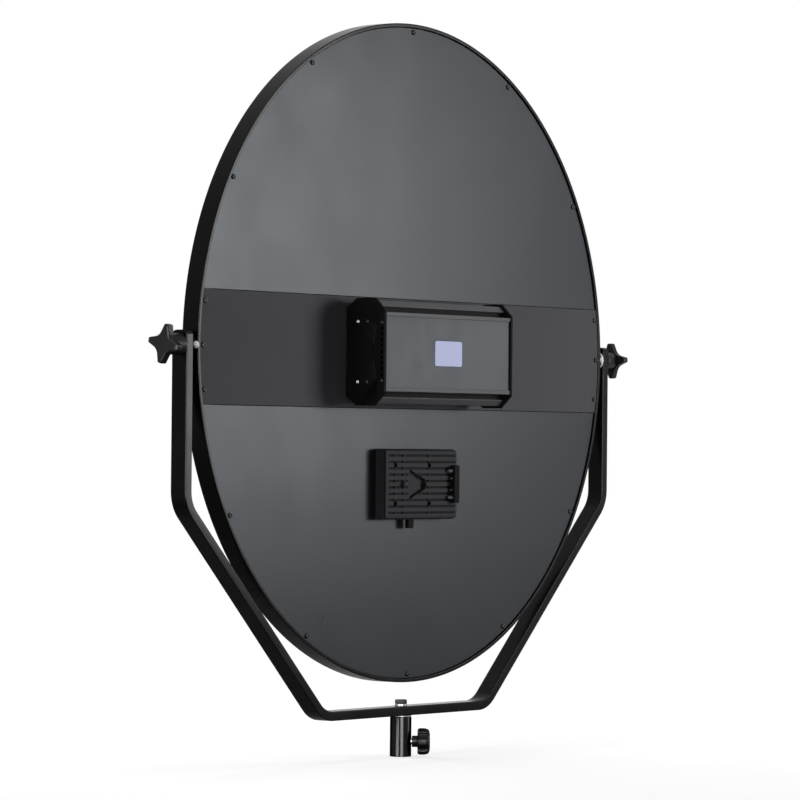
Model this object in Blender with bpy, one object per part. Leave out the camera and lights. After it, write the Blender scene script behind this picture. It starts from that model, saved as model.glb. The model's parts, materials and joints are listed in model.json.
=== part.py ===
"""A round edge-lit LED studio light that tilts in a half-octagon yoke, as separate pieces.

Units are metres and +Z is up. The origin is the middle of the stand socket's open mouth.
The disc gives its light towards -Y. The control box and battery plate are on its +Y side.
"""

import math

import bmesh
import bpy
from mathutils import Matrix, Vector

MM = 0.001
GAP = 0.3 * MM

# How far a cutter reaches past what it cuts
CUT_PAST = 2 * MM

# Driving dimensions of the disc
DISC_RADIUS = 406 * MM
DISC_DEPTH = 25 * MM
RING_SIDES = 96
HOLE_PHASE = math.radians(7)
PIVOT_Z = 498 * MM
BACK_Y = DISC_DEPTH / 2
FRONT_Y = -DISC_DEPTH / 2

# Rim ring: a bent channel with a front lip, a rear bead and a ledge for the back plates
WALL = 2.5 * MM
BEAD_WIDTH = 4.6 * MM
LEDGE_INNER_RADIUS = 386 * MM
LIP_INNER_RADIUS = 388 * MM
LIP_THICKNESS = 2 * MM
LEDGE_TOP_Y = 8.3 * MM
LEDGE_THICKNESS = 2.2 * MM
RIM_CHAMFER = 0.8 * MM
SEAM_ANGLE = math.radians(-45)
JOINER_LENGTH = 60 * MM
JOINER_THICKNESS = 1.5 * MM

# Back plates
PLATE_RADIUS = DISC_RADIUS - BEAD_WIDTH - 0.5 * MM
PLATE_BASE_Y = LEDGE_TOP_Y + GAP
PLATE_TOP_Y = 10 * MM
BAND_TOP_Y = 11.2 * MM
BAND_Z = PIVOT_Z - 1.7 * MM
BAND_HALF = 67 * MM
PLATE_SEAM = 0.6 * MM

# Screws around the edge of the back plates
SCREW_CIRCLE = 396 * MM
SCREW_STEP = 30
BAND_SCREW_OFFSET = 7.5
SCREW_HEAD_RADIUS = 3 * MM
SCREW_HEAD_HEIGHT = 1.8 * MM
SCREW_SHANK_RADIUS = 1.5 * MM
SCREW_LENGTH = 7 * MM

# Sheets inside the disc, from the front to the back
DIFFUSER_THICKNESS = 3 * MM
GUIDE_THICKNESS = 5 * MM
REFLECTOR_THICKNESS = 0.8 * MM
DIFFUSER_RADIUS = 402.5 * MM
GUIDE_RADIUS = 400.5 * MM
REFLECTOR_RADIUS = 399.5 * MM
FOAM_RADIUS = 384 * MM
STRIP_THICKNESS = 1.3 * MM
STRIP_WIDTH = 9 * MM
DIFFUSER_Y = FRONT_Y + LIP_THICKNESS + GAP
GUIDE_Y = DIFFUSER_Y + DIFFUSER_THICKNESS + GAP
REFLECTOR_Y = GUIDE_Y + GUIDE_THICKNESS + GAP
FOAM_Y = REFLECTOR_Y + REFLECTOR_THICKNESS + GAP

# Yoke: a flat bar bent to half an octagon in the plane of the disc
YOKE_HALF_WIDTH = 425 * MM
YOKE_THICKNESS = 11.5 * MM
YOKE_DEPTH = 23 * MM
YOKE_TOP_Z = PIVOT_Z + 17 * MM
YOKE_CORNER_Z = PIVOT_Z - 188.3 * MM
YOKE_BOTTOM_Z = PIVOT_Z - 447.2 * MM
YOKE_BEND_RADIUS = 45 * MM
YOKE_BEND_STEPS = 8
YOKE_END_RADIUS = 6 * MM
YOKE_CORNER_X = YOKE_HALF_WIDTH - (YOKE_CORNER_Z - YOKE_BOTTOM_Z)
ARM_INNER_X = YOKE_HALF_WIDTH - YOKE_THICKNESS

# Pivot hardware
STUD_RADIUS = 4 * MM
STUD_HOLE_RADIUS = 4.4 * MM
STUD_TIP_X = 404.2 * MM
WASHER_RADIUS = 12.3 * MM
WASHER_THICKNESS = 2.6 * MM
KNOB_RADIUS = 23 * MM
KNOB_BACK_X = 445 * MM
KNOB_FRONT_X = 455 * MM
KNOB_HUB_RADIUS = 13 * MM
KNOB_LOBES = 4
KNOB_LOBE_HALF = 4.6 * MM
KNOB_WAIST_SHARE = 0.56
LEFT_KNOB_TURN = math.radians(77)
RIGHT_KNOB_TURN = math.radians(4)
BRACKET_FRONT_Y = -9 * MM
BRACKET_SHOULDER_Y = 3 * MM
BRACKET_NECK_Y = 9 * MM
BRACKET_NOSE_Y = 11 * MM
BRACKET_HALVES = (14 * MM, 13 * MM, 6 * MM, 5 * MM)

# Stand socket and its clamp
SOCKET_RADIUS = 13.3 * MM
SOCKET_BORE_RADIUS = 8.2 * MM
SOCKET_HEIGHT = 49.1 * MM
SOCKET_DEPTH = 42 * MM
SOCKET_WASHER_RADIUS = 12.8 * MM
SOCKET_WASHER_THICKNESS = YOKE_BOTTOM_Z - SOCKET_HEIGHT - 2 * GAP
CLAMP_Z = 18.6 * MM
CLAMP_TURN = math.radians(127.7)
CLAMP_HEAD_RADIUS = 16.75 * MM
CLAMP_HEAD_NEAR = 20.8 * MM
CLAMP_HEAD_FAR = 36.3 * MM
CLAMP_NECK_RADIUS = 7.1 * MM
CLAMP_LOBES = 6
CLAMP_WAIST_SHARE = 0.8
CLAMP_CLEARANCE = 1.5 * MM
CLAMP_SEAT_DEPTH = 8 * MM
BOLT_HEAD_RADIUS = 7.5 * MM
BOLT_HEAD_HEIGHT = 5.2 * MM
BOLT_WASHER_RADIUS = 7.8 * MM
BOLT_WASHER_THICKNESS = 2.2 * MM

# Control box
CASE_BASE_Y = BAND_TOP_Y + GAP
CASE_HALF_LENGTH = 126 * MM
CASE_HALF_HEIGHT = 62 * MM
CASE_BASE_CHAMFER = (12.5 * MM, 9 * MM)
CASE_SIDE_Y = 53.5 * MM
CASE_SHOULDER_Y = 60 * MM
CASE_SHOULDER_HALF = CASE_HALF_HEIGHT - 6.5 * MM
CASE_CHANNEL_Y = 57 * MM
CASE_CHANNEL_HALF = CASE_HALF_HEIGHT - 7.5 * MM
CASE_LIP_HALF = 47.8 * MM
CASE_FACE_Y = 69.9 * MM
CASE_SLOT_LIP = 1.7 * MM
CASE_WALL = 2 * MM
CASE_INNER_CHAMFER = 2.5 * MM
CASE_INNER_STEP = 1 * MM
CASE_INNER_HALF = 42.5 * MM
PANEL_HALF_HEIGHT = 44.6 * MM
PANEL_BASE_Y = 66.9 * MM
PANEL_TOP_Y = 68.5 * MM
PANEL_HALF_LENGTH = CASE_HALF_LENGTH - 0.2 * MM
END_THICKNESS = 3.7 * MM
END_INNER_X = CASE_HALF_LENGTH + GAP
END_OUTER_X = END_INNER_X + END_THICKNESS
END_HALF_HEIGHT = 65 * MM
END_FACE_Y = 71 * MM
END_CHAMFER = 15.5 * MM
END_BASE_CHAMFER = (16 * MM, 11.5 * MM)
VENT_COUNT = 9
VENT_PITCH = 7 * MM
VENT_HALF = 2 * MM
VENT_Y = (63 * MM, 67.5 * MM)
BOW_HALF = 32.5 * MM
BOW_SAGITTA = 5.4 * MM
BOW_Y = (52.8 * MM, 61 * MM)
BOW_DEPTH = 1.2 * MM
ARC_STEPS = 8
WAIST_HALF = 34 * MM
WAIST_SAGITTA = 7 * MM
WAIST_REACH = 5.5 * MM
WINDOW_WIDTH = 55 * MM
WINDOW_HEIGHT = 31 * MM
WINDOW_RADIUS = 3 * MM
WINDOW_PROUD = 0.5 * MM

# Controls on the end of the box that the photograph hides
CONTROL_Y = 40 * MM
DIAL_RADIUS = 11 * MM
DIAL_LENGTH = 13 * MM
DIAL_FLUTES = 12
DIAL_FLUTE_DEPTH = 0.9 * MM
DIAL_CLEARANCE = 0.5 * MM
DIAL_SHAFT_RADIUS = 3 * MM
DIAL_SHAFT_IN = 8 * MM
DIAL_OFFSETS = (42 * MM, 12 * MM)
SWITCH_OFFSET = -16 * MM
SWITCH_HALF = (7.5 * MM, 10.5 * MM)
SWITCH_LEAN = math.radians(8)
SWITCH_ROOM = (1 * MM, 1.5 * MM)
SWITCH_TIP = -1.6 * MM
SWITCH_SHOULDER = 3 * MM
SWITCH_CREST = 4 * MM
SWITCH_INSET = 2 * MM
INLET_OFFSET = -43 * MM
INLET_RADIUS = 8 * MM
INLET_FLANGE = 12 * MM
INLET_FLANGE_DEPTH = 2 * MM
INLET_FLANGE_RADIUS = 3 * MM
INLET_WALL = 2 * MM
INLET_BARREL_DEPTH = 16 * MM
INLET_BORE_DEPTH = 12 * MM

# Driver board: its largest components as (low X, high X, low height, high height, rise)
BOARD_X = (-105 * MM, 100 * MM)
BOARD_HALF_HEIGHT = 50 * MM
BOARD_LIFT = 6 * MM
BOARD_THICKNESS = 1.6 * MM
TRANSFORMER = (-70 * MM, -35 * MM, -15 * MM, 20 * MM, 26 * MM)
HEAT_SINK = (30 * MM, 85 * MM, -30 * MM, 30 * MM, 18 * MM)
CAPACITOR_RADIUS = 9 * MM
CAPACITOR_RISE = 28 * MM
CAPACITOR_X = -5 * MM
CAPACITOR_HEIGHTS = (22 * MM, -8 * MM)

# Battery plate
BATTERY_X = -4 * MM
BATTERY_Z = PIVOT_Z - 161.8 * MM
BATTERY_HALF_WIDTH = 72 * MM
BATTERY_HALF_HEIGHT = 43.3 * MM
BATTERY_EDGE_RADIUS = 4.5 * MM
BATTERY_CORNER_RADIUS = 7 * MM
BATTERY_BASE_Y = PLATE_TOP_Y + GAP
BATTERY_FACE_Y = BATTERY_BASE_Y + 16 * MM
GROOVE_PITCH = 7.8 * MM
GROOVE_WIDTH = 3 * MM
GROOVE_DEPTH = 1.8 * MM
GROOVE_COUNT = 10
BATTERY_BORDER = 5 * MM
WEDGE_MOUTH_HALF = 18.5 * MM
WEDGE_TIP_HALF = 5 * MM
WEDGE_LENGTH = 34 * MM
WEDGE_MOUTH_X = BATTERY_X + 25 * MM
WEDGE_DEPTH = 5.5 * MM
BATTERY_SCREW_X = (BATTERY_X + 53 * MM, BATTERY_X - 15 * MM)
BATTERY_SCREW_OFFSET = 23.7 * MM
BATTERY_SCREW_RADIUS = 3 * MM
BATTERY_SCREW_HEIGHT = 3 * MM
BATTERY_HOLE_RADIUS = 3.4 * MM
BATTERY_HOLE_FLOOR = BATTERY_BASE_Y + 6 * MM
BATTERY_DRIVE_RADIUS = 1.5 * MM
CONTACT_X = BATTERY_X - 63.7 * MM
CONTACT_HALF = (4.7 * MM, 23.2 * MM)
CONTACT_PROUD = 7 * MM
CONTACT_POCKET = 8 * MM
CONTACT_PIN_LENGTH = 5 * MM
CONTACT_PIN_LIFT = 3.2 * MM
POWER_PIN = (16.5 * MM, 2.2 * MM)
DATA_PIN = (7.3 * MM, 1.3 * MM)
BUTTON_X = BATTERY_X + 14 * MM
BUTTON_HALF = (5 * MM, 3 * MM)
BUTTON_OUT = 11 * MM
BUTTON_IN = 10 * MM
BUTTON_TRAVEL = 4 * MM
CATCH_X = BATTERY_X + 38 * MM
CATCH_RADIUS = 3 * MM
CATCH_OUT = 4 * MM
CATCH_IN = 5 * MM
CATCH_TRAVEL = 3.5 * MM


def clear_scene():
    for item in list(bpy.data.objects):
        bpy.data.objects.remove(item, do_unlink=True)


def material(name, colour, roughness, metallic=0.0):
    """One Principled material from a linear colour."""
    made = bpy.data.materials.new(name)
    made.use_nodes = True
    shader = made.node_tree.nodes["Principled BSDF"]
    shader.inputs["Base Color"].default_value = (*colour, 1.0)
    shader.inputs["Roughness"].default_value = roughness
    shader.inputs["Metallic"].default_value = metallic
    made.diffuse_color = (*colour, 1.0)
    return made


def finish_mesh(name, mesh_edit, look=None, smooth=False):
    """Turn an edit mesh into a named object."""
    bmesh.ops.recalc_face_normals(mesh_edit, faces=mesh_edit.faces)
    mesh = bpy.data.meshes.new(name)
    mesh_edit.to_mesh(mesh)
    mesh_edit.free()
    if smooth:
        mesh.shade_smooth()
        mesh.set_sharp_from_angle(angle=math.radians(35))
    made = bpy.data.objects.new(name, mesh)
    bpy.context.scene.collection.objects.link(made)
    if look:
        mesh.materials.append(material(name + "_finish", *look))
    return made


def add_prism(mesh_edit, outline, axis, low, high):
    """Extrude a flat outline along one axis. The outline gives the other two coordinates in order."""
    ends = []
    for depth in (low, high):
        ring = []
        for first, second in outline:
            point = [first, second]
            point.insert(axis, depth)
            ring.append(mesh_edit.verts.new(point))
        ends.append(ring)
        mesh_edit.faces.new(ring)
    count = len(outline)
    for index in range(count):
        after = (index + 1) % count
        mesh_edit.faces.new((ends[0][index], ends[0][after], ends[1][after], ends[1][index]))


def prism(name, outline, axis, low, high, look=None, smooth=False):
    mesh_edit = bmesh.new()
    add_prism(mesh_edit, outline, axis, low, high)
    return finish_mesh(name, mesh_edit, look, smooth)


def circle(radius, sides, centre=(0.0, 0.0), phase=0.0):
    points = []
    for index in range(sides):
        angle = phase + math.tau * index / sides
        points.append((centre[0] + radius * math.cos(angle), centre[1] + radius * math.sin(angle)))
    return points


def round_hole(radius, sides, centre=(0.0, 0.0)):
    """A circle turned a little, so that no corner of a hole lies on an edge of what it cuts."""
    return circle(radius, sides, centre, HOLE_PHASE)


def rectangle(low_first, high_first, low_second, high_second):
    return [(low_first, low_second), (high_first, low_second),
            (high_first, high_second), (low_first, high_second)]


def rounded_rectangle(half_first, half_second, radius, centre=(0.0, 0.0), steps=3):
    points = []
    corners = [(1, 1), (-1, 1), (-1, -1), (1, -1)]
    for quarter, (side, level) in enumerate(corners):
        for step in range(steps + 1):
            angle = math.pi / 2 * (quarter + step / steps)
            points.append((centre[0] + side * (half_first - radius) + radius * math.cos(angle),
                           centre[1] + level * (half_second - radius) + radius * math.sin(angle)))
    return points


def box(name, low, high, look=None):
    return prism(name, rectangle(low[1], high[1], low[2], high[2]), 0, low[0], high[0], look)


def turned_ring(name, profile, look):
    """Turn a closed (radius, y) profile about the disc's own axis."""
    mesh_edit = bmesh.new()
    rings = []
    for index in range(RING_SIDES):
        angle = math.tau * index / RING_SIDES
        rings.append([mesh_edit.verts.new((radius * math.cos(angle), y, PIVOT_Z + radius * math.sin(angle)))
                      for radius, y in profile])
    for index, ring in enumerate(rings):
        following = rings[(index + 1) % RING_SIDES]
        for corner in range(len(profile)):
            after = (corner + 1) % len(profile)
            mesh_edit.faces.new((ring[corner], ring[after], following[after], following[corner]))
    return finish_mesh(name, mesh_edit, look, smooth=True)


def cut(target, cutter):
    """Subtract a hidden cutter from a piece."""
    combine(target, cutter, "DIFFERENCE")


def join(target, other):
    """Fuse a hidden solid into a piece."""
    combine(target, other, "UNION")


def combine(target, other, operation):
    other.hide_render = True
    other.display_type = "WIRE"
    modifier = target.modifiers.new(other.name, "BOOLEAN")
    modifier.operation = operation
    modifier.object = other


def prisms(name, shapes):
    """Several separate prisms in one hidden cutter. Each shape is (outline, axis, low, high)."""
    mesh_edit = bmesh.new()
    for outline, axis, low, high in shapes:
        add_prism(mesh_edit, outline, axis, low, high)
    return finish_mesh(name, mesh_edit)


def place(item, position, turn=0.0):
    """Put a piece that was modelled about its own axis where it belongs."""
    item.matrix_world = Matrix.Translation(Vector(position)) @ Matrix.Rotation(turn, 4, "Z")


def slice_outline(radius, low, high):
    """The part of a disc between two levels, on the same facets as the rim ring."""
    corners = circle(radius, RING_SIDES)
    points = []
    for index, (x, z) in enumerate(corners):
        next_x, next_z = corners[(index + 1) % RING_SIDES]
        if low <= z <= high:
            points.append((x, PIVOT_Z + z))
        crossed = [level for level in (low, high) if (z - level) * (next_z - level) < 0]
        for level in sorted(crossed, key=lambda value: abs(value - z)):
            share = (level - z) / (next_z - z)
            points.append((x + share * (next_x - x), PIVOT_Z + level))
    return points


def screw_angles():
    """Every 30 degrees round the edge, and one more each side of each end of the band."""
    angles = [float(angle) for angle in range(0, 360, SCREW_STEP)]
    for end in (0, 180):
        angles += [end - BAND_SCREW_OFFSET, end + BAND_SCREW_OFFSET]
    return [math.radians(angle % 360) for angle in sorted(angles)]


def screw_centre(angle):
    return SCREW_CIRCLE * math.cos(angle), PIVOT_Z + SCREW_CIRCLE * math.sin(angle)


def screw_holes(name):
    radius = SCREW_SHANK_RADIUS + GAP
    low = LEDGE_TOP_Y - LEDGE_THICKNESS - CUT_PAST
    shapes = [(round_hole(radius, 8, screw_centre(angle)), 1, low, BAND_TOP_Y + CUT_PAST)
              for angle in screw_angles()]
    return prisms(name, shapes)


def make_rim():
    profile = [(DISC_RADIUS, FRONT_Y + RIM_CHAMFER), (DISC_RADIUS, BACK_Y - RIM_CHAMFER),
               (DISC_RADIUS - RIM_CHAMFER, BACK_Y), (DISC_RADIUS - BEAD_WIDTH, BACK_Y),
               (DISC_RADIUS - BEAD_WIDTH, LEDGE_TOP_Y), (LEDGE_INNER_RADIUS, LEDGE_TOP_Y),
               (LEDGE_INNER_RADIUS, LEDGE_TOP_Y - LEDGE_THICKNESS),
               (DISC_RADIUS - WALL, LEDGE_TOP_Y - LEDGE_THICKNESS),
               (DISC_RADIUS - WALL, FRONT_Y + LIP_THICKNESS), (LIP_INNER_RADIUS, FRONT_Y + LIP_THICKNESS),
               (LIP_INNER_RADIUS, FRONT_Y), (DISC_RADIUS - RIM_CHAMFER, FRONT_Y)]
    rim = turned_ring("rim_frame", profile, ((0.012, 0.012, 0.013), 0.38, 0.3))
    cut(rim, screw_holes("rim_hole_cutter"))
    pivots = [(round_hole(STUD_HOLE_RADIUS, 16, (0, PIVOT_Z)), 0, side * (STUD_TIP_X - CUT_PAST - GAP),
               side * (DISC_RADIUS + CUT_PAST)) for side in (-1, 1)]
    cut(rim, prisms("rim_pivot_cutter", pivots))


def make_joiner():
    """A short curved strip inside the channel that bridges the ring's own seam."""
    outer = DISC_RADIUS - WALL - 2 * GAP
    half = JOINER_LENGTH / outer / 2
    step = math.tau / RING_SIDES
    angles = [SEAM_ANGLE - half + 2 * half * index / 4 for index in range(5)]
    facets = outer * math.cos(step / 2)
    outline = [(facets * math.cos(angle), PIVOT_Z + facets * math.sin(angle)) for angle in angles]
    inner = facets - JOINER_THICKNESS
    outline += [(inner * math.cos(angle), PIVOT_Z + inner * math.sin(angle)) for angle in reversed(angles)]
    low = GUIDE_Y + STRIP_WIDTH + GAP
    prism("rim_joiner", outline, 1, low, LEDGE_TOP_Y - LEDGE_THICKNESS - GAP,
          ((0.45, 0.45, 0.46), 0.35, 1.0), smooth=True)


def make_back_plates():
    grey = ((0.13, 0.135, 0.15), 0.42, 0.5)
    dark = ((0.075, 0.078, 0.085), 0.42, 0.5)
    middle = BAND_Z - PIVOT_Z
    low = middle - BAND_HALF
    high = middle + BAND_HALF
    plates = [("back_plate_upper", high + PLATE_SEAM, DISC_RADIUS, PLATE_TOP_Y, grey),
              ("back_plate_lower", -DISC_RADIUS, low - PLATE_SEAM, PLATE_TOP_Y, grey),
              ("band_plate", low, high, BAND_TOP_Y, dark)]
    for name, bottom, top, face, look in plates:
        plate = prism(name, slice_outline(PLATE_RADIUS, bottom, top), 1, PLATE_BASE_Y, face, look)
        shapes = []
        for angle in screw_angles():
            height = SCREW_CIRCLE * math.sin(angle)
            if bottom < height < top:
                shapes.append((round_hole(SCREW_SHANK_RADIUS + GAP, 8, screw_centre(angle)), 1,
                               PLATE_BASE_Y - CUT_PAST, face + CUT_PAST))
        cut(plate, prisms(name + "_cutter", shapes))


def make_rim_screws():
    for number, angle in enumerate(screw_angles(), start=1):
        x, z = screw_centre(angle)
        on_band = abs(z - BAND_Z) < BAND_HALF
        face = (BAND_TOP_Y if on_band else PLATE_TOP_Y) + GAP
        name = f"rim_screw_{number:02d}"
        head = prism(name, circle(SCREW_HEAD_RADIUS, 12, (x, z)), 1, face, face + SCREW_HEAD_HEIGHT,
                     ((0.02, 0.02, 0.022), 0.3, 0.8), smooth=True)
        join(head, prism(name + "_shank", circle(SCREW_SHANK_RADIUS, 8, (x, z)), 1,
                         face - SCREW_LENGTH, face + SCREW_HEAD_HEIGHT / 2))


def make_sheets():
    sheets = [("diffuser", DIFFUSER_RADIUS, DIFFUSER_Y, DIFFUSER_THICKNESS, ((0.85, 0.86, 0.86), 0.5)),
              ("light_guide", GUIDE_RADIUS, GUIDE_Y, GUIDE_THICKNESS, ((0.8, 0.82, 0.84), 0.1)),
              ("reflector_sheet", REFLECTOR_RADIUS, REFLECTOR_Y, REFLECTOR_THICKNESS,
               ((0.9, 0.9, 0.9), 0.6))]
    for name, radius, low, thickness, look in sheets:
        prism(name, circle(radius, RING_SIDES, (0, PIVOT_Z)), 1, low, low + thickness, look)
    foam_top = LEDGE_TOP_Y - LEDGE_THICKNESS
    prism("foam_pad", circle(FOAM_RADIUS, RING_SIDES, (0, PIVOT_Z)), 1, FOAM_Y, foam_top,
          ((0.03, 0.03, 0.03), 0.9))


def make_led_strip():
    outer = DISC_RADIUS - WALL - GAP
    inner = outer - STRIP_THICKNESS
    profile = [(outer, GUIDE_Y), (outer, GUIDE_Y + STRIP_WIDTH),
               (inner, GUIDE_Y + STRIP_WIDTH), (inner, GUIDE_Y)]
    turned_ring("led_strip", profile, ((0.75, 0.75, 0.7), 0.5))


def corner_cut(corner, inward, radius):
    """What rounding a corner takes away. The corner and its way inwards are pairs of coordinates."""
    centre = [at + way * radius for at, way in zip(corner, inward)]
    outside = [at - way * CUT_PAST for at, way in zip(corner, inward)]
    arc = [(centre[0] - inward[0] * radius * math.cos(math.radians(angle)),
            centre[1] - inward[1] * radius * math.sin(math.radians(angle))) for angle in (0, 30, 60, 90)]
    return arc + [(centre[0], outside[1]), (outside[0], outside[1]), (outside[0], centre[1])]


def yoke_outline():
    """Outer and inner edges of the bar, each corner bent to the same centre."""
    turns = [(-YOKE_HALF_WIDTH, YOKE_CORNER_Z), (-YOKE_CORNER_X, YOKE_BOTTOM_Z),
             (YOKE_CORNER_X, YOKE_BOTTOM_Z), (YOKE_HALF_WIDTH, YOKE_CORNER_Z)]
    facing = [180, 225, 270, 315, 360]
    outer = []
    inner = []
    for index, (x, z) in enumerate(turns):
        reach = YOKE_BEND_RADIUS / math.cos(math.radians(22.5))
        inward = math.radians((facing[index] + facing[index + 1]) / 2)
        centre = (x - reach * math.cos(inward), z - reach * math.sin(inward))
        for step in range(YOKE_BEND_STEPS + 1):
            angle = math.radians(facing[index] + 45 * step / YOKE_BEND_STEPS)
            for edge, radius in ((outer, YOKE_BEND_RADIUS), (inner, YOKE_BEND_RADIUS - YOKE_THICKNESS)):
                edge.append((centre[0] + radius * math.cos(angle), centre[1] + radius * math.sin(angle)))
    left = [(-ARM_INNER_X, YOKE_TOP_Z), (-YOKE_HALF_WIDTH, YOKE_TOP_Z)]
    right = [(YOKE_HALF_WIDTH, YOKE_TOP_Z), (ARM_INNER_X, YOKE_TOP_Z)]
    return left + outer + right + list(reversed(inner))


def make_yoke():
    yoke = prism("yoke", yoke_outline(), 1, -YOKE_DEPTH / 2, YOKE_DEPTH / 2,
                 ((0.018, 0.018, 0.02), 0.4, 0.4))
    holes = []
    for side in (-1, 1):
        holes.append((round_hole(STUD_HOLE_RADIUS, 16, (0, PIVOT_Z)), 0, side * (ARM_INNER_X - CUT_PAST),
                      side * (YOKE_HALF_WIDTH + CUT_PAST)))
    holes.append((round_hole(STUD_HOLE_RADIUS, 16), 2, YOKE_BOTTOM_Z - CUT_PAST,
                  YOKE_BOTTOM_Z + YOKE_THICKNESS + CUT_PAST))
    cut(yoke, prisms("yoke_hole_cutter", holes))
    corners = []
    for side in (-1, 1):
        for level in (-1, 1):
            outline = corner_cut((level * YOKE_DEPTH / 2, YOKE_TOP_Z), (-level, -1), YOKE_END_RADIUS)
            corners.append((outline, 0, side * (ARM_INNER_X - CUT_PAST), side * (YOKE_HALF_WIDTH + CUT_PAST)))
    cut(yoke, prisms("yoke_corner_cutter", corners))


def washer(name, axis, radius, hole, low, high, centre, look):
    made = prism(name, circle(radius, 24, centre), axis, low, high, look, smooth=True)
    margin = CUT_PAST if high > low else -CUT_PAST
    cut(made, prisms(name + "_cutter", [(round_hole(hole, 16, centre), axis, low - margin, high + margin)]))
    return made


def lobed_outline(radius, waist, lobes, half_width, turn):
    """A knob outline: narrow lobes with round ends and hollow arcs between them."""
    points = []
    for lobe in range(lobes):
        angle = turn + math.tau * lobe / lobes
        for side, reach in ((-1, radius - half_width * 0.5), (-0.55, radius), (0.55, radius),
                            (1, radius - half_width * 0.5)):
            points.append((reach * math.cos(angle) - side * half_width * math.sin(angle),
                           reach * math.sin(angle) + side * half_width * math.cos(angle)))
        for share in (0.3, 0.5, 0.7):
            between = angle + math.tau / lobes * share
            depth = waist + (radius - waist) * 0.35 * abs(share - 0.5) / 0.2
            points.append((depth * math.cos(between), depth * math.sin(between)))
    return points


def make_tilt_knob(side, label, turn):
    """A four-lobed knob, its hub and the blind hole that holds the stud."""
    name = "tilt_knob_" + label
    outline = lobed_outline(KNOB_RADIUS, KNOB_RADIUS * KNOB_WAIST_SHARE, KNOB_LOBES, KNOB_LOBE_HALF, turn)
    knob = prism(name, outline, 0, side * KNOB_BACK_X, side * KNOB_FRONT_X,
                 ((0.014, 0.014, 0.015), 0.45), smooth=True)
    near = YOKE_HALF_WIDTH + GAP
    hub = [(circle(KNOB_HUB_RADIUS, 24), 0, side * near, side * (KNOB_BACK_X + CUT_PAST))]
    join(knob, prisms(name + "_hub", hub))
    seat = [(round_hole(STUD_RADIUS + GAP, 16), 0, side * (near - CUT_PAST), side * (KNOB_BACK_X + GAP))]
    cut(knob, prisms(name + "_cutter", seat))
    for part in (knob, bpy.data.objects[name + "_hub"], bpy.data.objects[name + "_cutter"]):
        part.location = (0, 0, PIVOT_Z)
    stud = prism("knob_stud_" + label, circle(STUD_RADIUS, 16), 0, side * STUD_TIP_X, side * KNOB_BACK_X,
                 ((0.5, 0.5, 0.52), 0.3, 1.0), smooth=True)
    stud.location = (0, 0, PIVOT_Z)


def make_pivot_bracket(side, label):
    """A pad on the rim that narrows towards the back and takes the stud's thread."""
    depths = (BRACKET_FRONT_Y, BRACKET_SHOULDER_Y, BRACKET_NECK_Y, BRACKET_NOSE_Y)
    lower = [(y, PIVOT_Z - half) for y, half in zip(depths, BRACKET_HALVES)]
    upper = [(y, PIVOT_Z + half) for y, half in zip(depths, BRACKET_HALVES)]
    outline = lower + list(reversed(upper))
    near = side * (DISC_RADIUS + GAP)
    far = side * (ARM_INNER_X - WASHER_THICKNESS - 2 * GAP)
    bracket = prism("pivot_bracket_" + label, outline, 0, near, far, ((0.02, 0.02, 0.021), 0.4, 0.3))
    past = side * CUT_PAST
    hole = [(round_hole(STUD_HOLE_RADIUS, 16, (0, PIVOT_Z)), 0, near - past, far + past)]
    cut(bracket, prisms("pivot_bracket_" + label + "_cutter", hole))


def make_pivots():
    for side, label, turn in ((1, "left", LEFT_KNOB_TURN), (-1, "right", RIGHT_KNOB_TURN)):
        make_tilt_knob(side, label, turn)
        make_pivot_bracket(side, label)
        far = side * (ARM_INNER_X - GAP)
        washer("nylon_washer_" + label, 0, WASHER_RADIUS, STUD_HOLE_RADIUS,
               far - side * WASHER_THICKNESS, far, (0, PIVOT_Z), ((0.85, 0.85, 0.83), 0.5))


def make_socket():
    """The tube that drops over a stand's stud, with a bolt hole above and a screw hole at one side."""
    socket = prism("stand_socket", circle(SOCKET_RADIUS, 32), 2, 0, SOCKET_HEIGHT,
                   ((0.012, 0.012, 0.012), 0.15, 0.6), smooth=True)
    bore = [(circle(SOCKET_BORE_RADIUS, 32), 2, -CUT_PAST, SOCKET_DEPTH)]
    cut(socket, prisms("socket_bore_cutter", bore))
    tapped = [(round_hole(STUD_HOLE_RADIUS, 16), 2, SOCKET_DEPTH - CUT_PAST, SOCKET_HEIGHT + CUT_PAST)]
    cut(socket, prisms("socket_bolt_cutter", tapped))
    side_hole = [(round_hole(STUD_HOLE_RADIUS, 16), 0, SOCKET_BORE_RADIUS - 2 * CUT_PAST,
                  SOCKET_RADIUS + CUT_PAST)]
    cutter = prisms("socket_clamp_cutter", side_hole)
    place(cutter, (0, 0, CLAMP_Z), CLAMP_TURN)
    cut(socket, cutter)
    washer("socket_washer", 2, SOCKET_WASHER_RADIUS, STUD_HOLE_RADIUS, SOCKET_HEIGHT + GAP,
           SOCKET_HEIGHT + GAP + SOCKET_WASHER_THICKNESS, (0, 0), ((0.6, 0.6, 0.62), 0.3, 1.0))


def make_yoke_bolt():
    base = YOKE_BOTTOM_Z + YOKE_THICKNESS + GAP
    washer("bolt_washer", 2, BOLT_WASHER_RADIUS, STUD_HOLE_RADIUS, base,
           base + BOLT_WASHER_THICKNESS, (0, 0), ((0.6, 0.6, 0.62), 0.35, 1.0))
    head_base = base + BOLT_WASHER_THICKNESS + GAP
    bolt = prism("yoke_bolt", circle(BOLT_HEAD_RADIUS, 6), 2, head_base, head_base + BOLT_HEAD_HEIGHT,
                 ((0.02, 0.02, 0.02), 0.3, 0.8))
    shank = [(circle(STUD_RADIUS, 16), 2, SOCKET_DEPTH + 3 * GAP, head_base + BOLT_HEAD_HEIGHT / 2)]
    join(bolt, prisms("yoke_bolt_shank", shank))


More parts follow.
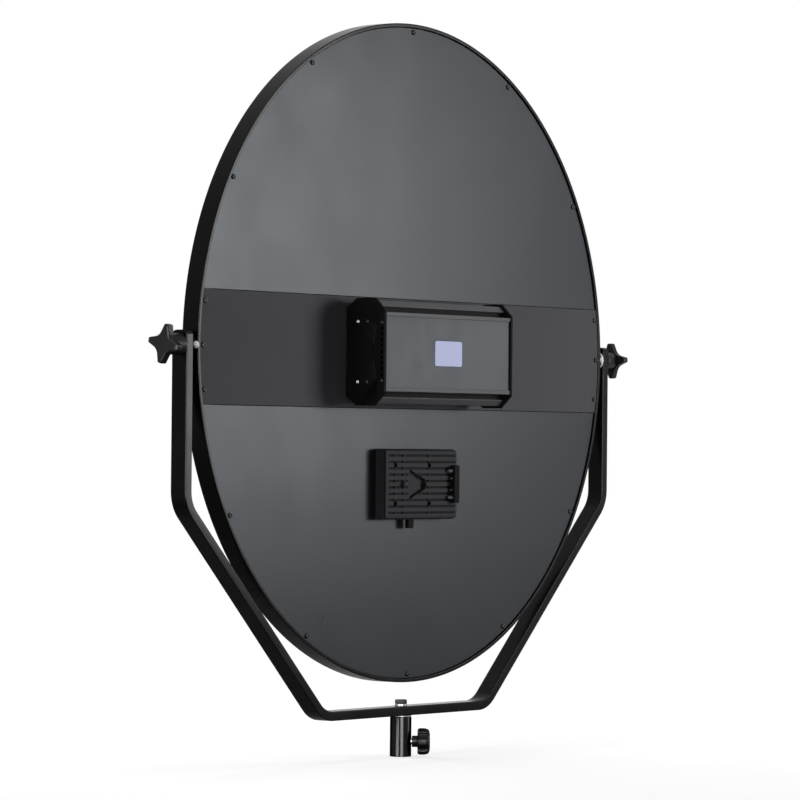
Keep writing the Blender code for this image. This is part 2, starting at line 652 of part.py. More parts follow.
def make_clamp():
    """The knob and screw that press on the stud. Both are modelled along X and then turned."""
    waist = CLAMP_HEAD_RADIUS * CLAMP_WAIST_SHARE
    outline = lobed_outline(CLAMP_HEAD_RADIUS, waist, CLAMP_LOBES, KNOB_LOBE_HALF, 0.0)
    knob = prism("clamp_knob", outline, 0, CLAMP_HEAD_NEAR, CLAMP_HEAD_FAR,
                 ((0.014, 0.014, 0.015), 0.45), smooth=True)
    neck = [(circle(CLAMP_NECK_RADIUS, 20), 0, SOCKET_RADIUS + CLAMP_CLEARANCE, CLAMP_HEAD_NEAR + CUT_PAST)]
    neck_part = prisms("clamp_knob_neck", neck)
    join(knob, neck_part)
    seat_end = CLAMP_HEAD_NEAR + CLAMP_SEAT_DEPTH
    seat = [(round_hole(STUD_RADIUS + GAP, 16), 0, SOCKET_RADIUS, seat_end)]
    seat_part = prisms("clamp_knob_cutter", seat)
    cut(knob, seat_part)
    screw = prism("clamp_screw", circle(STUD_RADIUS, 16), 0, SOCKET_BORE_RADIUS + GAP, seat_end - GAP,
                  ((0.5, 0.5, 0.52), 0.3, 1.0), smooth=True)
    for part in (knob, neck_part, seat_part, screw):
        place(part, (0, 0, CLAMP_Z), CLAMP_TURN)


def mirrored_about_band(half):
    """Close an outline given for its upper half, from the base forwards, as (y, height) pairs."""
    upper = [(y, BAND_Z + height) for y, height in half]
    lower = [(y, BAND_Z - height) for y, height in reversed(half)]
    return upper + lower


def make_case():
    """An extruded housing: chamfered shoulders with a channel, and a slot that holds the face panel."""
    slot_top = PANEL_HALF_HEIGHT + GAP
    slot_lip = PANEL_HALF_HEIGHT - CASE_SLOT_LIP
    chamfer_y, chamfer_z = CASE_BASE_CHAMFER
    outer = [(CASE_BASE_Y, CASE_HALF_HEIGHT - chamfer_z), (CASE_BASE_Y + chamfer_y, CASE_HALF_HEIGHT),
             (CASE_SIDE_Y, CASE_HALF_HEIGHT),
             (CASE_SHOULDER_Y, CASE_SHOULDER_HALF), (CASE_SHOULDER_Y, CASE_CHANNEL_HALF),
             (CASE_CHANNEL_Y, CASE_CHANNEL_HALF), (CASE_CHANNEL_Y, CASE_LIP_HALF),
             (CASE_FACE_Y, CASE_LIP_HALF), (CASE_FACE_Y, slot_lip),
             (PANEL_TOP_Y + GAP, slot_lip), (PANEL_TOP_Y + GAP, slot_top), (PANEL_BASE_Y - GAP, slot_top)]
    case = prism("control_case", mirrored_about_band(outer), 0, -CASE_HALF_LENGTH, CASE_HALF_LENGTH,
                 ((0.09, 0.092, 0.1), 0.35, 0.9))
    inside = CASE_HALF_HEIGHT - CASE_WALL
    floor = CASE_CHANNEL_Y - CASE_WALL
    scale = (chamfer_z - CASE_INNER_STEP) / chamfer_z
    inner = [(CASE_BASE_Y + CASE_WALL, inside - chamfer_z * scale),
             (CASE_BASE_Y + CASE_WALL + chamfer_y * scale, inside), (floor - CASE_INNER_CHAMFER, inside),
             (floor, inside - CASE_INNER_CHAMFER), (floor, CASE_INNER_HALF),
             (PANEL_BASE_Y - GAP - CASE_WALL, CASE_INNER_HALF)]
    reach = CASE_HALF_LENGTH + CUT_PAST
    cut(case, prisms("control_case_cutter", [(mirrored_about_band(inner), 0, -reach, reach)]))


def make_face_panel():
    half = [(PANEL_BASE_Y, PANEL_HALF_HEIGHT), (PANEL_TOP_Y, PANEL_HALF_HEIGHT)]
    panel = prism("face_panel", mirrored_about_band(half), 0, -PANEL_HALF_LENGTH, PANEL_HALF_LENGTH,
                  ((0.16, 0.16, 0.175), 0.5, 0.3))
    centre = (0, BAND_Z)
    hole = rounded_rectangle(WINDOW_WIDTH / 2 + GAP, WINDOW_HEIGHT / 2 + GAP, WINDOW_RADIUS + GAP, centre)
    cut(panel, prisms("face_panel_cutter", [(hole, 1, PANEL_BASE_Y - CUT_PAST, PANEL_TOP_Y + CUT_PAST)]))
    glass = rounded_rectangle(WINDOW_WIDTH / 2, WINDOW_HEIGHT / 2, WINDOW_RADIUS, centre)
    prism("display_window", glass, 1, PANEL_BASE_Y, PANEL_TOP_Y + WINDOW_PROUD, ((0.5, 0.5, 0.7), 0.2))


def end_outline():
    chamfer_y, chamfer_z = END_BASE_CHAMFER
    return mirrored_about_band([
        (CASE_BASE_Y, END_HALF_HEIGHT - chamfer_z), (CASE_BASE_Y + chamfer_y, END_HALF_HEIGHT),
        (END_FACE_Y - END_CHAMFER, END_HALF_HEIGHT), (END_FACE_Y, END_HALF_HEIGHT - END_CHAMFER)])


def vents(side):
    """A row of short slots near the front edge of an end plate."""
    shapes = []
    for index in range(VENT_COUNT):
        centre = BAND_Z + (index - (VENT_COUNT - 1) / 2) * VENT_PITCH
        shapes.append((rectangle(*VENT_Y, centre - VENT_HALF, centre + VENT_HALF), 0,
                       side * (END_INNER_X - CUT_PAST), side * (END_OUTER_X + CUT_PAST)))
    return shapes


def arc_across(half, sagitta, crown, lean):
    """An arc over the band's middle. Its ends lie forward of the crown, or behind it where lean is -1."""
    radius = (half ** 2 + sagitta ** 2) / (2 * sagitta)
    spread = math.asin(half / radius)
    points = []
    for step in range(ARC_STEPS + 1):
        angle = spread * (2 * step / ARC_STEPS - 1)
        points.append((crown + lean * radius * (1 - math.cos(angle)), BAND_Z + radius * math.sin(angle)))
    return points


def hollows(side):
    """Two shallow bowed hollows, one beside the vents and one along the base."""
    near, far = BOW_Y
    crescent = arc_across(BOW_HALF, BOW_SAGITTA, near, 1)
    crescent += [(far, BAND_Z + BOW_HALF), (far, BAND_Z - BOW_HALF)]
    waist = arc_across(WAIST_HALF, WAIST_SAGITTA, CASE_BASE_Y + WAIST_REACH, -1)
    return [(outline, 0, side * (END_OUTER_X - BOW_DEPTH), side * (END_OUTER_X + CUT_PAST))
            for outline in (crescent, waist)]


def make_case_ends():
    look = ((0.012, 0.012, 0.013), 0.4)
    for side, label in ((1, "left"), (-1, "right")):
        end = prism("case_end_" + label, end_outline(), 0, side * END_INNER_X, side * END_OUTER_X, look)
        cut(end, prisms("case_end_" + label + "_vents", vents(side) + hollows(side)))
    inside = -END_INNER_X + CUT_PAST
    outside = -END_OUTER_X - CUT_PAST
    shaft_hole = DIAL_SHAFT_RADIUS + GAP
    outlines = [round_hole(shaft_hole, 12, (CONTROL_Y, BAND_Z + offset)) for offset in DIAL_OFFSETS]
    half_depth = SWITCH_HALF[0] + SWITCH_ROOM[0]
    half_height = SWITCH_HALF[1] + SWITCH_ROOM[1]
    outlines.append(rectangle(CONTROL_Y - half_depth, CONTROL_Y + half_depth,
                              BAND_Z + SWITCH_OFFSET - half_height, BAND_Z + SWITCH_OFFSET + half_height))
    outlines.append(round_hole(INLET_RADIUS + GAP, 24, (CONTROL_Y, BAND_Z + INLET_OFFSET)))
    cut(bpy.data.objects["case_end_right"],
        prisms("case_end_right_controls", [(outline, 0, inside, outside) for outline in outlines]))


def make_dials():
    """Two fluted dials on shafts that pass through the end plate."""
    for name, offset in zip(("brightness_dial", "color_dial"), DIAL_OFFSETS):
        outline = []
        for index in range(DIAL_FLUTES * 2):
            radius = DIAL_RADIUS if index % 2 == 0 else DIAL_RADIUS - DIAL_FLUTE_DEPTH
            angle = math.tau * index / (DIAL_FLUTES * 2)
            outline.append((radius * math.cos(angle), radius * math.sin(angle)))
        face = -END_THICKNESS - DIAL_CLEARANCE
        dial = prism(name, outline, 0, face - DIAL_LENGTH, face,
                     ((0.013, 0.013, 0.014), 0.5), smooth=True)
        shaft = prism(name + "_shaft", circle(DIAL_SHAFT_RADIUS, 12), 0, face - CUT_PAST, DIAL_SHAFT_IN)
        join(dial, shaft)
        for part in (dial, shaft):
            part.location = (-END_INNER_X, CONTROL_Y, BAND_Z + offset)


def make_power_switch():
    """A rocker that leans about an axis along Y, modelled level about it. At rest it is switched off."""
    half_depth, half_height = SWITCH_HALF
    inset = half_height - SWITCH_INSET
    outline = [(SWITCH_TIP, -half_height), (SWITCH_SHOULDER, -inset), (SWITCH_CREST, 0),
               (SWITCH_SHOULDER, inset), (SWITCH_TIP, half_height), (-SWITCH_SHOULDER, 0)]
    rocker = prism("power_switch", outline, 1, -half_depth, half_depth, ((0.02, 0.02, 0.02), 0.35))
    rocker.location = (-END_OUTER_X, CONTROL_Y, BAND_Z + SWITCH_OFFSET)
    rocker.rotation_euler = (0, -SWITCH_LEAN, 0)


def make_power_inlet():
    centre = (CONTROL_Y, BAND_Z + INLET_OFFSET)
    face = -END_OUTER_X - GAP
    flange = rounded_rectangle(INLET_FLANGE, INLET_FLANGE, INLET_FLANGE_RADIUS, centre)
    outside = face - INLET_FLANGE_DEPTH
    inlet = prism("power_inlet", flange, 0, outside, face, ((0.02, 0.02, 0.02), 0.4))
    barrel = [(circle(INLET_RADIUS, 24, centre), 0, face - INLET_FLANGE_DEPTH / 2, face + INLET_BARREL_DEPTH)]
    join(inlet, prisms("power_inlet_barrel", barrel))
    bore = [(circle(INLET_RADIUS - INLET_WALL, 24, centre), 0, outside - CUT_PAST, face + INLET_BORE_DEPTH)]
    cut(inlet, prisms("power_inlet_bore", bore))


def make_driver_board():
    """A circuit board with its transformer, two capacitors and a heat sink."""
    base = CASE_BASE_Y + CASE_WALL + BOARD_LIFT
    board = box("driver_board", (BOARD_X[0], base, BAND_Z - BOARD_HALF_HEIGHT),
                (BOARD_X[1], base + BOARD_THICKNESS, BAND_Z + BOARD_HALF_HEIGHT), ((0.02, 0.12, 0.05), 0.5))
    low = base + BOARD_THICKNESS / 2
    shapes = [(circle(CAPACITOR_RADIUS, 16, (CAPACITOR_X, BAND_Z + height)), 1, low, base + CAPACITOR_RISE)
              for height in CAPACITOR_HEIGHTS]
    for left, right, bottom, top, rise in (TRANSFORMER, HEAT_SINK):
        shapes.append((rectangle(left, right, BAND_Z + bottom, BAND_Z + top), 1, low, base + rise))
    join(board, prisms("driver_board_parts", shapes))


def battery_outline():
    """Side view of the plate, with its front edges rounded above and below."""
    middle = BATTERY_FACE_Y - BATTERY_EDGE_RADIUS
    level = BATTERY_HALF_HEIGHT - BATTERY_EDGE_RADIUS
    half = [(BATTERY_BASE_Y, BATTERY_HALF_HEIGHT)]
    for angle in (90, 60, 30, 0):
        across = BATTERY_EDGE_RADIUS * math.cos(math.radians(angle))
        up = BATTERY_EDGE_RADIUS * math.sin(math.radians(angle))
        half.append((middle + across, level + up))
    upper = [(y, BATTERY_Z + height) for y, height in half]
    lower = [(y, BATTERY_Z - height) for y, height in reversed(half)]
    return upper + lower


def battery_grooves():
    """A row of grooves across the plate's face, which stop short of a plain border at one end."""
    floor = BATTERY_FACE_Y - GROOVE_DEPTH
    above = BATTERY_FACE_Y + CUT_PAST
    start = BATTERY_X - BATTERY_HALF_WIDTH - CUT_PAST
    end = BATTERY_X + BATTERY_HALF_WIDTH - BATTERY_BORDER
    shapes = []
    for index in range(GROOVE_COUNT):
        centre = BATTERY_Z + (index - (GROOVE_COUNT - 1) / 2) * GROOVE_PITCH
        outline = rectangle(floor, above, centre - GROOVE_WIDTH / 2, centre + GROOVE_WIDTH / 2)
        shapes.append((outline, 0, start, end))
    return shapes


def make_battery_plate():
    plate = prism("battery_plate", battery_outline(), 0, BATTERY_X - BATTERY_HALF_WIDTH,
                  BATTERY_X + BATTERY_HALF_WIDTH, ((0.05, 0.052, 0.055), 0.45))
    cut(plate, prisms("battery_groove_cutter", battery_grooves()))
    corners = []
    for level in (-1, 1):
        corner = (BATTERY_X - BATTERY_HALF_WIDTH, BATTERY_Z + level * BATTERY_HALF_HEIGHT)
        corners.append((corner_cut(corner, (1, -level), BATTERY_CORNER_RADIUS), 1,
                        BATTERY_BASE_Y - CUT_PAST, BATTERY_FACE_Y + CUT_PAST))
    cut(plate, prisms("battery_corner_cutter", corners))
    above = BATTERY_FACE_Y + CUT_PAST
    tip = WEDGE_MOUTH_X - WEDGE_LENGTH
    wedge = [(WEDGE_MOUTH_X, BATTERY_Z - WEDGE_MOUTH_HALF), (WEDGE_MOUTH_X, BATTERY_Z + WEDGE_MOUTH_HALF),
             (tip, BATTERY_Z + WEDGE_TIP_HALF), (tip, BATTERY_Z - WEDGE_TIP_HALF)]
    cut(plate, prisms("battery_wedge_cutter", [(wedge, 1, BATTERY_FACE_Y - WEDGE_DEPTH, above)]))
    holes = []
    for x in BATTERY_SCREW_X:
        for side in (-1, 1):
            centre = (x, BATTERY_Z + side * BATTERY_SCREW_OFFSET)
            holes.append((round_hole(BATTERY_HOLE_RADIUS, 16, centre), 1, BATTERY_HOLE_FLOOR, above))
    cut(plate, prisms("battery_screw_cutter", holes))
    width, height = CONTACT_HALF
    pocket = rectangle(CONTACT_X - width - GAP, CONTACT_X + width + GAP,
                       BATTERY_Z - height - GAP, BATTERY_Z + height + GAP)
    catch = round_hole(CATCH_RADIUS + GAP, 16, (CATCH_X, BATTERY_Z))
    catch_floor = BATTERY_FACE_Y - CATCH_IN - CATCH_TRAVEL - 3 * GAP
    pockets = [(pocket, 1, BATTERY_FACE_Y - CONTACT_POCKET, above), (catch, 1, catch_floor, above)]
    cut(plate, prisms("battery_pocket_cutter", pockets))
    half_x, half_y = BUTTON_HALF
    middle = (BATTERY_BASE_Y + BATTERY_FACE_Y) / 2
    half_x += GAP
    half_y += GAP
    slot = rectangle(BUTTON_X - half_x, BUTTON_X + half_x, middle - half_y, middle + half_y)
    bottom = BATTERY_Z - BATTERY_HALF_HEIGHT
    slot_top = bottom + BUTTON_IN + BUTTON_TRAVEL + 2 * GAP
    cut(plate, prisms("battery_button_cutter", [(slot, 2, bottom - CUT_PAST, slot_top)]))


def make_battery_pieces():
    width, height = CONTACT_HALF
    top = BATTERY_FACE_Y + CONTACT_PROUD
    base = BATTERY_FACE_Y - CONTACT_POCKET + GAP
    block = box("contact_block", (CONTACT_X - width, base, BATTERY_Z - height),
                (CONTACT_X + width, top, BATTERY_Z + height), ((0.01, 0.01, 0.01), 0.4))
    pins = []
    for offset, radius in (POWER_PIN, DATA_PIN):
        for side in (-1, 1):
            centre = (BATTERY_FACE_Y + CONTACT_PIN_LIFT, BATTERY_Z + side * offset)
            pins.append((circle(radius, 12, centre), 0, CONTACT_X, CONTACT_X + width + CONTACT_PIN_LENGTH))
    join(block, prisms("contact_block_pins", pins))
    middle = (BATTERY_BASE_Y + BATTERY_FACE_Y) / 2
    bottom = BATTERY_Z - BATTERY_HALF_HEIGHT
    half_x, half_y = BUTTON_HALF
    button = prism("release_button", rectangle(-half_x, half_x, -half_y, half_y), 2, -BUTTON_OUT, BUTTON_IN,
                   ((0.01, 0.01, 0.01), 0.4))
    button.location = (BUTTON_X, middle, bottom)
    catch = prism("battery_catch", circle(CATCH_RADIUS, 16), 1, -CATCH_IN, CATCH_OUT,
                  ((0.5, 0.5, 0.52), 0.3, 1.0), smooth=True)
    catch.location = (CATCH_X, BATTERY_FACE_Y, BATTERY_Z)


def make_battery_screws():
    number = 1
    for x in BATTERY_SCREW_X:
        for side in (1, -1):
            centre = (x, BATTERY_Z + side * BATTERY_SCREW_OFFSET)
            low = BATTERY_HOLE_FLOOR + GAP
            high = low + BATTERY_SCREW_HEIGHT
            name = f"battery_plate_screw_{number}"
            screw = prism(name, circle(BATTERY_SCREW_RADIUS, 16, centre), 1, low, high,
                          ((0.02, 0.02, 0.02), 0.3, 0.8), smooth=True)
            drive = [(circle(BATTERY_DRIVE_RADIUS, 6, centre), 1, (low + high) / 2, high + CUT_PAST)]
            cut(screw, prisms(name + "_cutter", drive))
            number += 1


def main():
    clear_scene()
    make_rim()
    make_joiner()
    make_back_plates()
    make_rim_screws()
    make_sheets()
    make_led_strip()
    make_case()
    make_face_panel()
    make_case_ends()
    make_dials()
    make_power_switch()
    make_power_inlet()
    make_driver_board()
    make_battery_plate()
    make_battery_pieces()
    make_battery_screws()
    make_yoke()
    make_pivots()
    make_socket()
    make_yoke_bolt()
    make_clamp()


main()
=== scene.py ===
"""The looks of a round LED studio light: finer pieces, materials, stage, lights and camera.

Units are metres and +Z is up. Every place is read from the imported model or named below.
"""

import json
from math import asin, cos, pi, radians, sin, tan, tau

import bmesh
import bpy
from mathutils import Matrix, Vector


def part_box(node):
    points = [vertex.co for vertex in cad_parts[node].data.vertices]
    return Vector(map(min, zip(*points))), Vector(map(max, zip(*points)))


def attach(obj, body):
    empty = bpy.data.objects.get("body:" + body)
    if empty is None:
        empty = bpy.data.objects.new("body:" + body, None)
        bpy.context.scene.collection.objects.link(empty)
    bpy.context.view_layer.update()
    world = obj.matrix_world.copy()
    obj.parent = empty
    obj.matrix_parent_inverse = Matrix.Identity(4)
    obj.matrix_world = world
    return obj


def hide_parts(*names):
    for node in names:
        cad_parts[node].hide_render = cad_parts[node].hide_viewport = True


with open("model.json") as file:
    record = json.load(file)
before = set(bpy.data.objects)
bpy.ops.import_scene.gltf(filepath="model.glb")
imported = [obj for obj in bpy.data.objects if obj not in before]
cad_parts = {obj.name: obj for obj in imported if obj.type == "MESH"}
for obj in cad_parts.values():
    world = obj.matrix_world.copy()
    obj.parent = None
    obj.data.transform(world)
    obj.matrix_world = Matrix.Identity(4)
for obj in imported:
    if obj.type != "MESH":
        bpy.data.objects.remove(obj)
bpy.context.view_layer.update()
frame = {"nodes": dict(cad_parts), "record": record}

MM = 0.001
GAP = 0.3 * MM
SHARP_ANGLE = radians(42)

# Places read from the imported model
RIM_LOW, RIM_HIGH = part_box("rim_frame")
PIVOT_Z = (RIM_LOW.z + RIM_HIGH.z) / 2
DISC_RADIUS = (RIM_HIGH.z - RIM_LOW.z) / 2
FRONT_Y = RIM_LOW.y
BACK_Y = RIM_HIGH.y
BAND_LOW, BAND_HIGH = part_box("band_plate")
BAND_Z = (BAND_LOW.z + BAND_HIGH.z) / 2
CASE_LOW, CASE_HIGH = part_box("control_case")
END_LOW, END_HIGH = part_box("case_end_left")
BATTERY_LOW, BATTERY_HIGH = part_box("battery_plate")
BATTERY_MID = (BATTERY_LOW + BATTERY_HIGH) / 2
YOKE_LOW, YOKE_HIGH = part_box("yoke")
SOCKET_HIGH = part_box("stand_socket")[1]

# Sizes of the ring's channel, shared with the solid model
WALL = 2.5 * MM
BEAD_WIDTH = 4.6 * MM
LEDGE_INNER_RADIUS = 386 * MM
LIP_INNER_RADIUS = 388 * MM
LIP_THICKNESS = 2 * MM
LEDGE_TOP_Y = 8.3 * MM
LEDGE_THICKNESS = 2.2 * MM
RING_SIDES = 288
RING_EDGE = 0.9 * MM
SEAM_ANGLE = radians(-45)
SEAM_GAP = 0.6 * MM

# Back sheets and their screws
PLATE_RADIUS = DISC_RADIUS - BEAD_WIDTH - 0.5 * MM
PLATE_BASE_Y = 8.6 * MM
PLATE_TOP_Y = 10 * MM
BAND_TOP_Y = 11.2 * MM
BAND_HALF = (BAND_HIGH.z - BAND_LOW.z) / 2
PLATE_SEAM = 0.6 * MM
RIM_SCREWS = 16
SCREW_HEAD_RADIUS = 3 * MM
SCREW_HEAD_HEIGHT = 1.8 * MM
SCREW_SHANK_RADIUS = 1.5 * MM
RIM_SCREW_LENGTH = 4 * MM
RECESS_SHARE = 0.45

# Pivots
STUD_HOLE_RADIUS = 4.4 * MM
WASHER_RADIUS = {"left": 9.2 * MM, "right": 12.3 * MM}
KNOB_RADIUS = 23 * MM
KNOB_BACK_X = 445 * MM
KNOB_HUB_RADIUS = 13 * MM
KNOB_LOBES = 4
LOBE_HALF = 3.5 * MM
KNOB_WAIST_SHARE = 0.56
LOBE_HOLLOW = 0.15
KNOB_TURNS = {"left": radians(77), "right": radians(4)}

# Stand socket and its clamp
SOCKET_RADIUS = 13.3 * MM
SOCKET_BORE_RADIUS = 8.2 * MM
SOCKET_BORE_DEPTH = 42 * MM
CLAMP_Z = 18.6 * MM
CLAMP_TURN = radians(127.7)
CLAMP_HEAD_RADIUS = 16.75 * MM
CLAMP_HEAD_NEAR = 20.8 * MM
CLAMP_HEAD_FAR = 36.3 * MM
CLAMP_NECK_NEAR = SOCKET_RADIUS + 0.6 * MM
CLAMP_NECK_RADIUS = 7.1 * MM
CLAMP_LOBES = 6
CLAMP_LOBE_HALF = 4.6 * MM
CLAMP_WAIST_SHARE = 0.8

# Yoke bar
YOKE_HALF_WIDTH = YOKE_HIGH.x
YOKE_BOTTOM_Z = YOKE_LOW.z
YOKE_TOP_Z = YOKE_HIGH.z
YOKE_HALF_DEPTH = YOKE_HIGH.y
YOKE_THICKNESS = 11.5 * MM
YOKE_CORNER_Z = PIVOT_Z - 188.3 * MM
YOKE_BEND_RADIUS = 45 * MM
YOKE_END_RADIUS = 6 * MM
YOKE_EDGE = 1.1 * MM
BEND_ANGLE = 45
BEND_STEPS = 10
END_STEPS = 6

# Control box profile, as heights above the band's middle
CASE_SIDE_Y = 53.5 * MM
CASE_SHOULDER_Y = 60 * MM
CASE_SHOULDER_HALF = 55.5 * MM
CASE_CHANNEL_Y = 57 * MM
CASE_CHANNEL_HALF = 54.5 * MM
CASE_LIP_HALF = 47.8 * MM
CASE_SLOT_LIP = 1.7 * MM
CASE_WALL = 2 * MM
CASE_BASE_CHAMFER = (12.5 * MM, 9 * MM)
CASE_INNER_STEP = 1 * MM
PANEL_HALF_HEIGHT = 44.6 * MM
PANEL_BASE_Y = 66.9 * MM
PANEL_TOP_Y = 68.5 * MM
CASE_HALF_HEIGHT = (CASE_HIGH.z - CASE_LOW.z) / 2
CASE_INNER_HALF = 42.5 * MM
WINDOW_RADIUS = 3 * MM

# End plates and the controls on the far one
END_HALF_HEIGHT = (END_HIGH.z - END_LOW.z) / 2
END_CHAMFER = 15.5 * MM
END_BASE_CHAMFER = (16 * MM, 11.5 * MM)
VENT_COUNT = 9
VENT_PITCH = 7 * MM
VENT_HALF = 2 * MM
VENT_Y = (63 * MM, 67.5 * MM)
BOW_HALF = 32.5 * MM
BOW_SAGITTA = 5.4 * MM
BOW_Y = (52.8 * MM, 61 * MM)
BOW_DEPTH = 1.2 * MM
WAIST_HALF = 34 * MM
WAIST_SAGITTA = 7 * MM
WAIST_REACH = 5.5 * MM
ARC_STEPS = 24
END_SCREW_HEAD = 1.2 * MM
END_SCREW_LENGTH = 3 * MM
# Each screw of an end plate: name, Y, height from the band's middle, radius of its head
END_SCREWS = [("bright", 30 * MM, 36.5 * MM, 2 * MM), ("dark", 44 * MM, 36.5 * MM, 2.3 * MM),
              ("front", 66.5 * MM, 35 * MM, 2 * MM)]
CONTROL_Y = 40 * MM
DIAL_RADIUS = 11 * MM
DIAL_FLUTES = 12
DIAL_FLUTE_DEPTH = 0.9 * MM
DIAL_CLEARANCE = 0.5 * MM
DIAL_SHAFT_RADIUS = 3 * MM
DIAL_SHAFT_IN = 11.7 * MM
DIAL_HEIGHTS = (BAND_Z + 42 * MM, BAND_Z + 12 * MM)
DIAL_TRAVEL = 270
POINTER_HALF = 0.6 * MM
POINTER_SPAN = (3 * MM, 8.4 * MM)
SCALE_MARKS = 11
MARK_HALF = 0.25 * MM
MARK_START = 12.2 * MM
MARK_LONG = 2.2 * MM
MARK_SHORT = 1.4 * MM
INLET_RADIUS = 8 * MM
INLET_Z = BAND_Z - 43 * MM

# Battery plate, as places beside its middle
GROOVE_DEPTH = 1.8 * MM
RIB_WIDTH = 1.4 * MM
RIB_DROP = 0.1 * MM
# Each rib: X, and the span of heights that it covers above and below the middle
RIBS = [(53 * MM, 0, 20 * MM), (53 * MM, 27.5 * MM, 39.5 * MM), (-15 * MM, 0, 20 * MM),
        (-15 * MM, 27.5 * MM, 39.5 * MM), (35.8 * MM, 0, 39.5 * MM)]
CONTACT_ROOM = 5 * MM
CONTACT_PIN_LIFT = 2.4 * MM
# Each contact pin: height, radius, length
CONTACT_PINS = [(16.5 * MM, 2.2 * MM, 9 * MM), (7.3 * MM, 1.3 * MM, 4.5 * MM),
                (-7.3 * MM, 1.3 * MM, 4.5 * MM), (-16.5 * MM, 2.2 * MM, 9 * MM)]
BATTERY_SCREWS = 4

# Pivot pads
BRACKET_SHOULDER_Y = 3 * MM
BRACKET_NECK_Y = 9 * MM
BRACKET_HALVES = (14 * MM, 13 * MM, 6 * MM, 5 * MM)
STUD_SEAT_RADIUS = 4.3 * MM
CAP_RADIUS = 4.2 * MM
CAP_HEIGHT = 3.4 * MM

# Stage, lamps and camera
FLOOR_RADIUS = 1.5
FLOOR_DROP = 0.1 * MM
FLOOR_FADE = (0.5, 0.98)
FLOOR_PAINT = (0.45, 0.45, 0.45, 1.0)
FLOOR_GLOW = 0.68
WORLD_FILL = 0.035
WHITE = (1.0, 1.0, 1.0, 1.0)
# Each lamp: name, place, width, power
LAMPS = [("key", (-2.0, 2.2, 0.75), 1.0, 62.0), ("top", (0.3, 0.05, 3.2), 1.6, 45.0),
         ("front", (-0.5, -3.2, 1.6), 2.2, 70.0)]
# Each strip: name, direction, power
STRIPS = [("left_strip", radians(3), 550.0), ("right_strip", radians(50), 550.0)]
STRIP_AWAY = 4
STRIP_HEIGHT = 0.6
STRIP_SIZE = (1.9, 2.5)
VIEW_PLACE = (4.01888, 3.09971, 0.38147)
VIEW_YAW = 0.91290
VIEW_PITCH = 0.0115
VIEW_ROLL = 0.0093
VIEW_LENS = 184.83
VIEW_SENSOR = 36
VIEW_REACH = 50

# The middle of a noise's range, and the cool tint of the satin coats' gloss
NOISE_SPAN = (0.2, 0.8)
COOL = (0.84, 0.93, 1.0, 1.0)


def circle(radius, sides, centre=(0.0, 0.0)):
    points = []
    for index in range(sides):
        angle = tau * index / sides
        points.append((centre[0] + radius * cos(angle), centre[1] + radius * sin(angle)))
    return points


def polar(radius, angle):
    return radius * cos(angle), radius * sin(angle)


def rectangle(low_first, high_first, low_second, high_second):
    return [(low_first, low_second), (high_first, low_second),
            (high_first, high_second), (low_first, high_second)]


def round_corners(points, radius, steps=3):
    """Replace each corner of a closed outline by an arc that touches both of its sides."""
    rounded = []
    count = len(points)
    for index in range(count):
        here = Vector(points[index])
        back = Vector(points[index - 1]) - here
        forth = Vector(points[(index + 1) % count]) - here
        opening = back.angle(forth)
        if opening > radians(178):
            rounded.append(tuple(here))
            continue
        reach = min(radius / tan(opening / 2), 0.45 * back.length, 0.45 * forth.length)
        true_radius = reach * tan(opening / 2)
        middle = (back.normalized() + forth.normalized()).normalized()
        centre = here + middle * (true_radius / sin(opening / 2))
        start = here + back.normalized() * reach - centre
        end = here + forth.normalized() * reach - centre
        sweep = start.angle_signed(end)
        for step in range(steps + 1):
            arm = Matrix.Rotation(-sweep * step / steps, 2) @ start
            rounded.append(tuple(centre + arm))
    return rounded


def spot(axis, depth, first, second):
    """A point from its depth along one axis and its other two coordinates in order."""
    point = [first, second]
    point.insert(axis, depth)
    return Vector(point)


def oriented(loop, counter_clockwise):
    area = sum(loop[i - 1][0] * loop[i][1] - loop[i][0] * loop[i - 1][1] for i in range(len(loop)))
    return list(loop) if (area > 0) == counter_clockwise else list(reversed(loop))


def inset(loop, distance):
    """Move every side of a loop to its left by one distance."""
    moved = []
    for index, corner in enumerate(loop):
        here = Vector(corner)
        before = (here - Vector(loop[index - 1])).normalized()
        after = (Vector(loop[(index + 1) % len(loop)]) - here).normalized()
        left_before = Vector((-before.y, before.x))
        left_after = Vector((-after.y, after.x))
        share = distance / max(0.35, 1 + left_before.dot(left_after))
        moved.append(tuple(here + (left_before + left_after) * share))
    return moved


def skin(draft, rings):
    """Join each ring of vertices to the next with quads."""
    for ring, following in zip(rings, rings[1:]):
        count = len(ring)
        for index in range(count):
            after = (index + 1) % count
            draft.faces.new((ring[index], ring[after], following[after], following[index]))


def skin_and_close(draft, rings):
    skin(draft, rings)
    draft.faces.new(rings[0])
    draft.faces.new(rings[-1])


def put_in_scene(name, data):
    made = bpy.data.objects.new(name, data)
    bpy.context.scene.collection.objects.link(made)
    return made


def shade(piece):
    """Shade a piece's flat faces flat and its rounds round."""
    piece.data.shade_smooth()
    piece.data.set_sharp_from_angle(angle=SHARP_ANGLE)
    weighted = piece.modifiers.new("weighted_normals", "WEIGHTED_NORMAL")
    weighted.keep_sharp = True
    weighted.weight = 100
    return piece


def mesh_from(name, draft):
    mesh = bpy.data.meshes.new(name)
    draft.to_mesh(mesh)
    draft.free()
    return mesh


def finish_piece(name, draft):
    """Turn an edit mesh into a shaded object."""
    bmesh.ops.recalc_face_normals(draft, faces=draft.faces)
    return shade(put_in_scene(name, mesh_from(name, draft)))


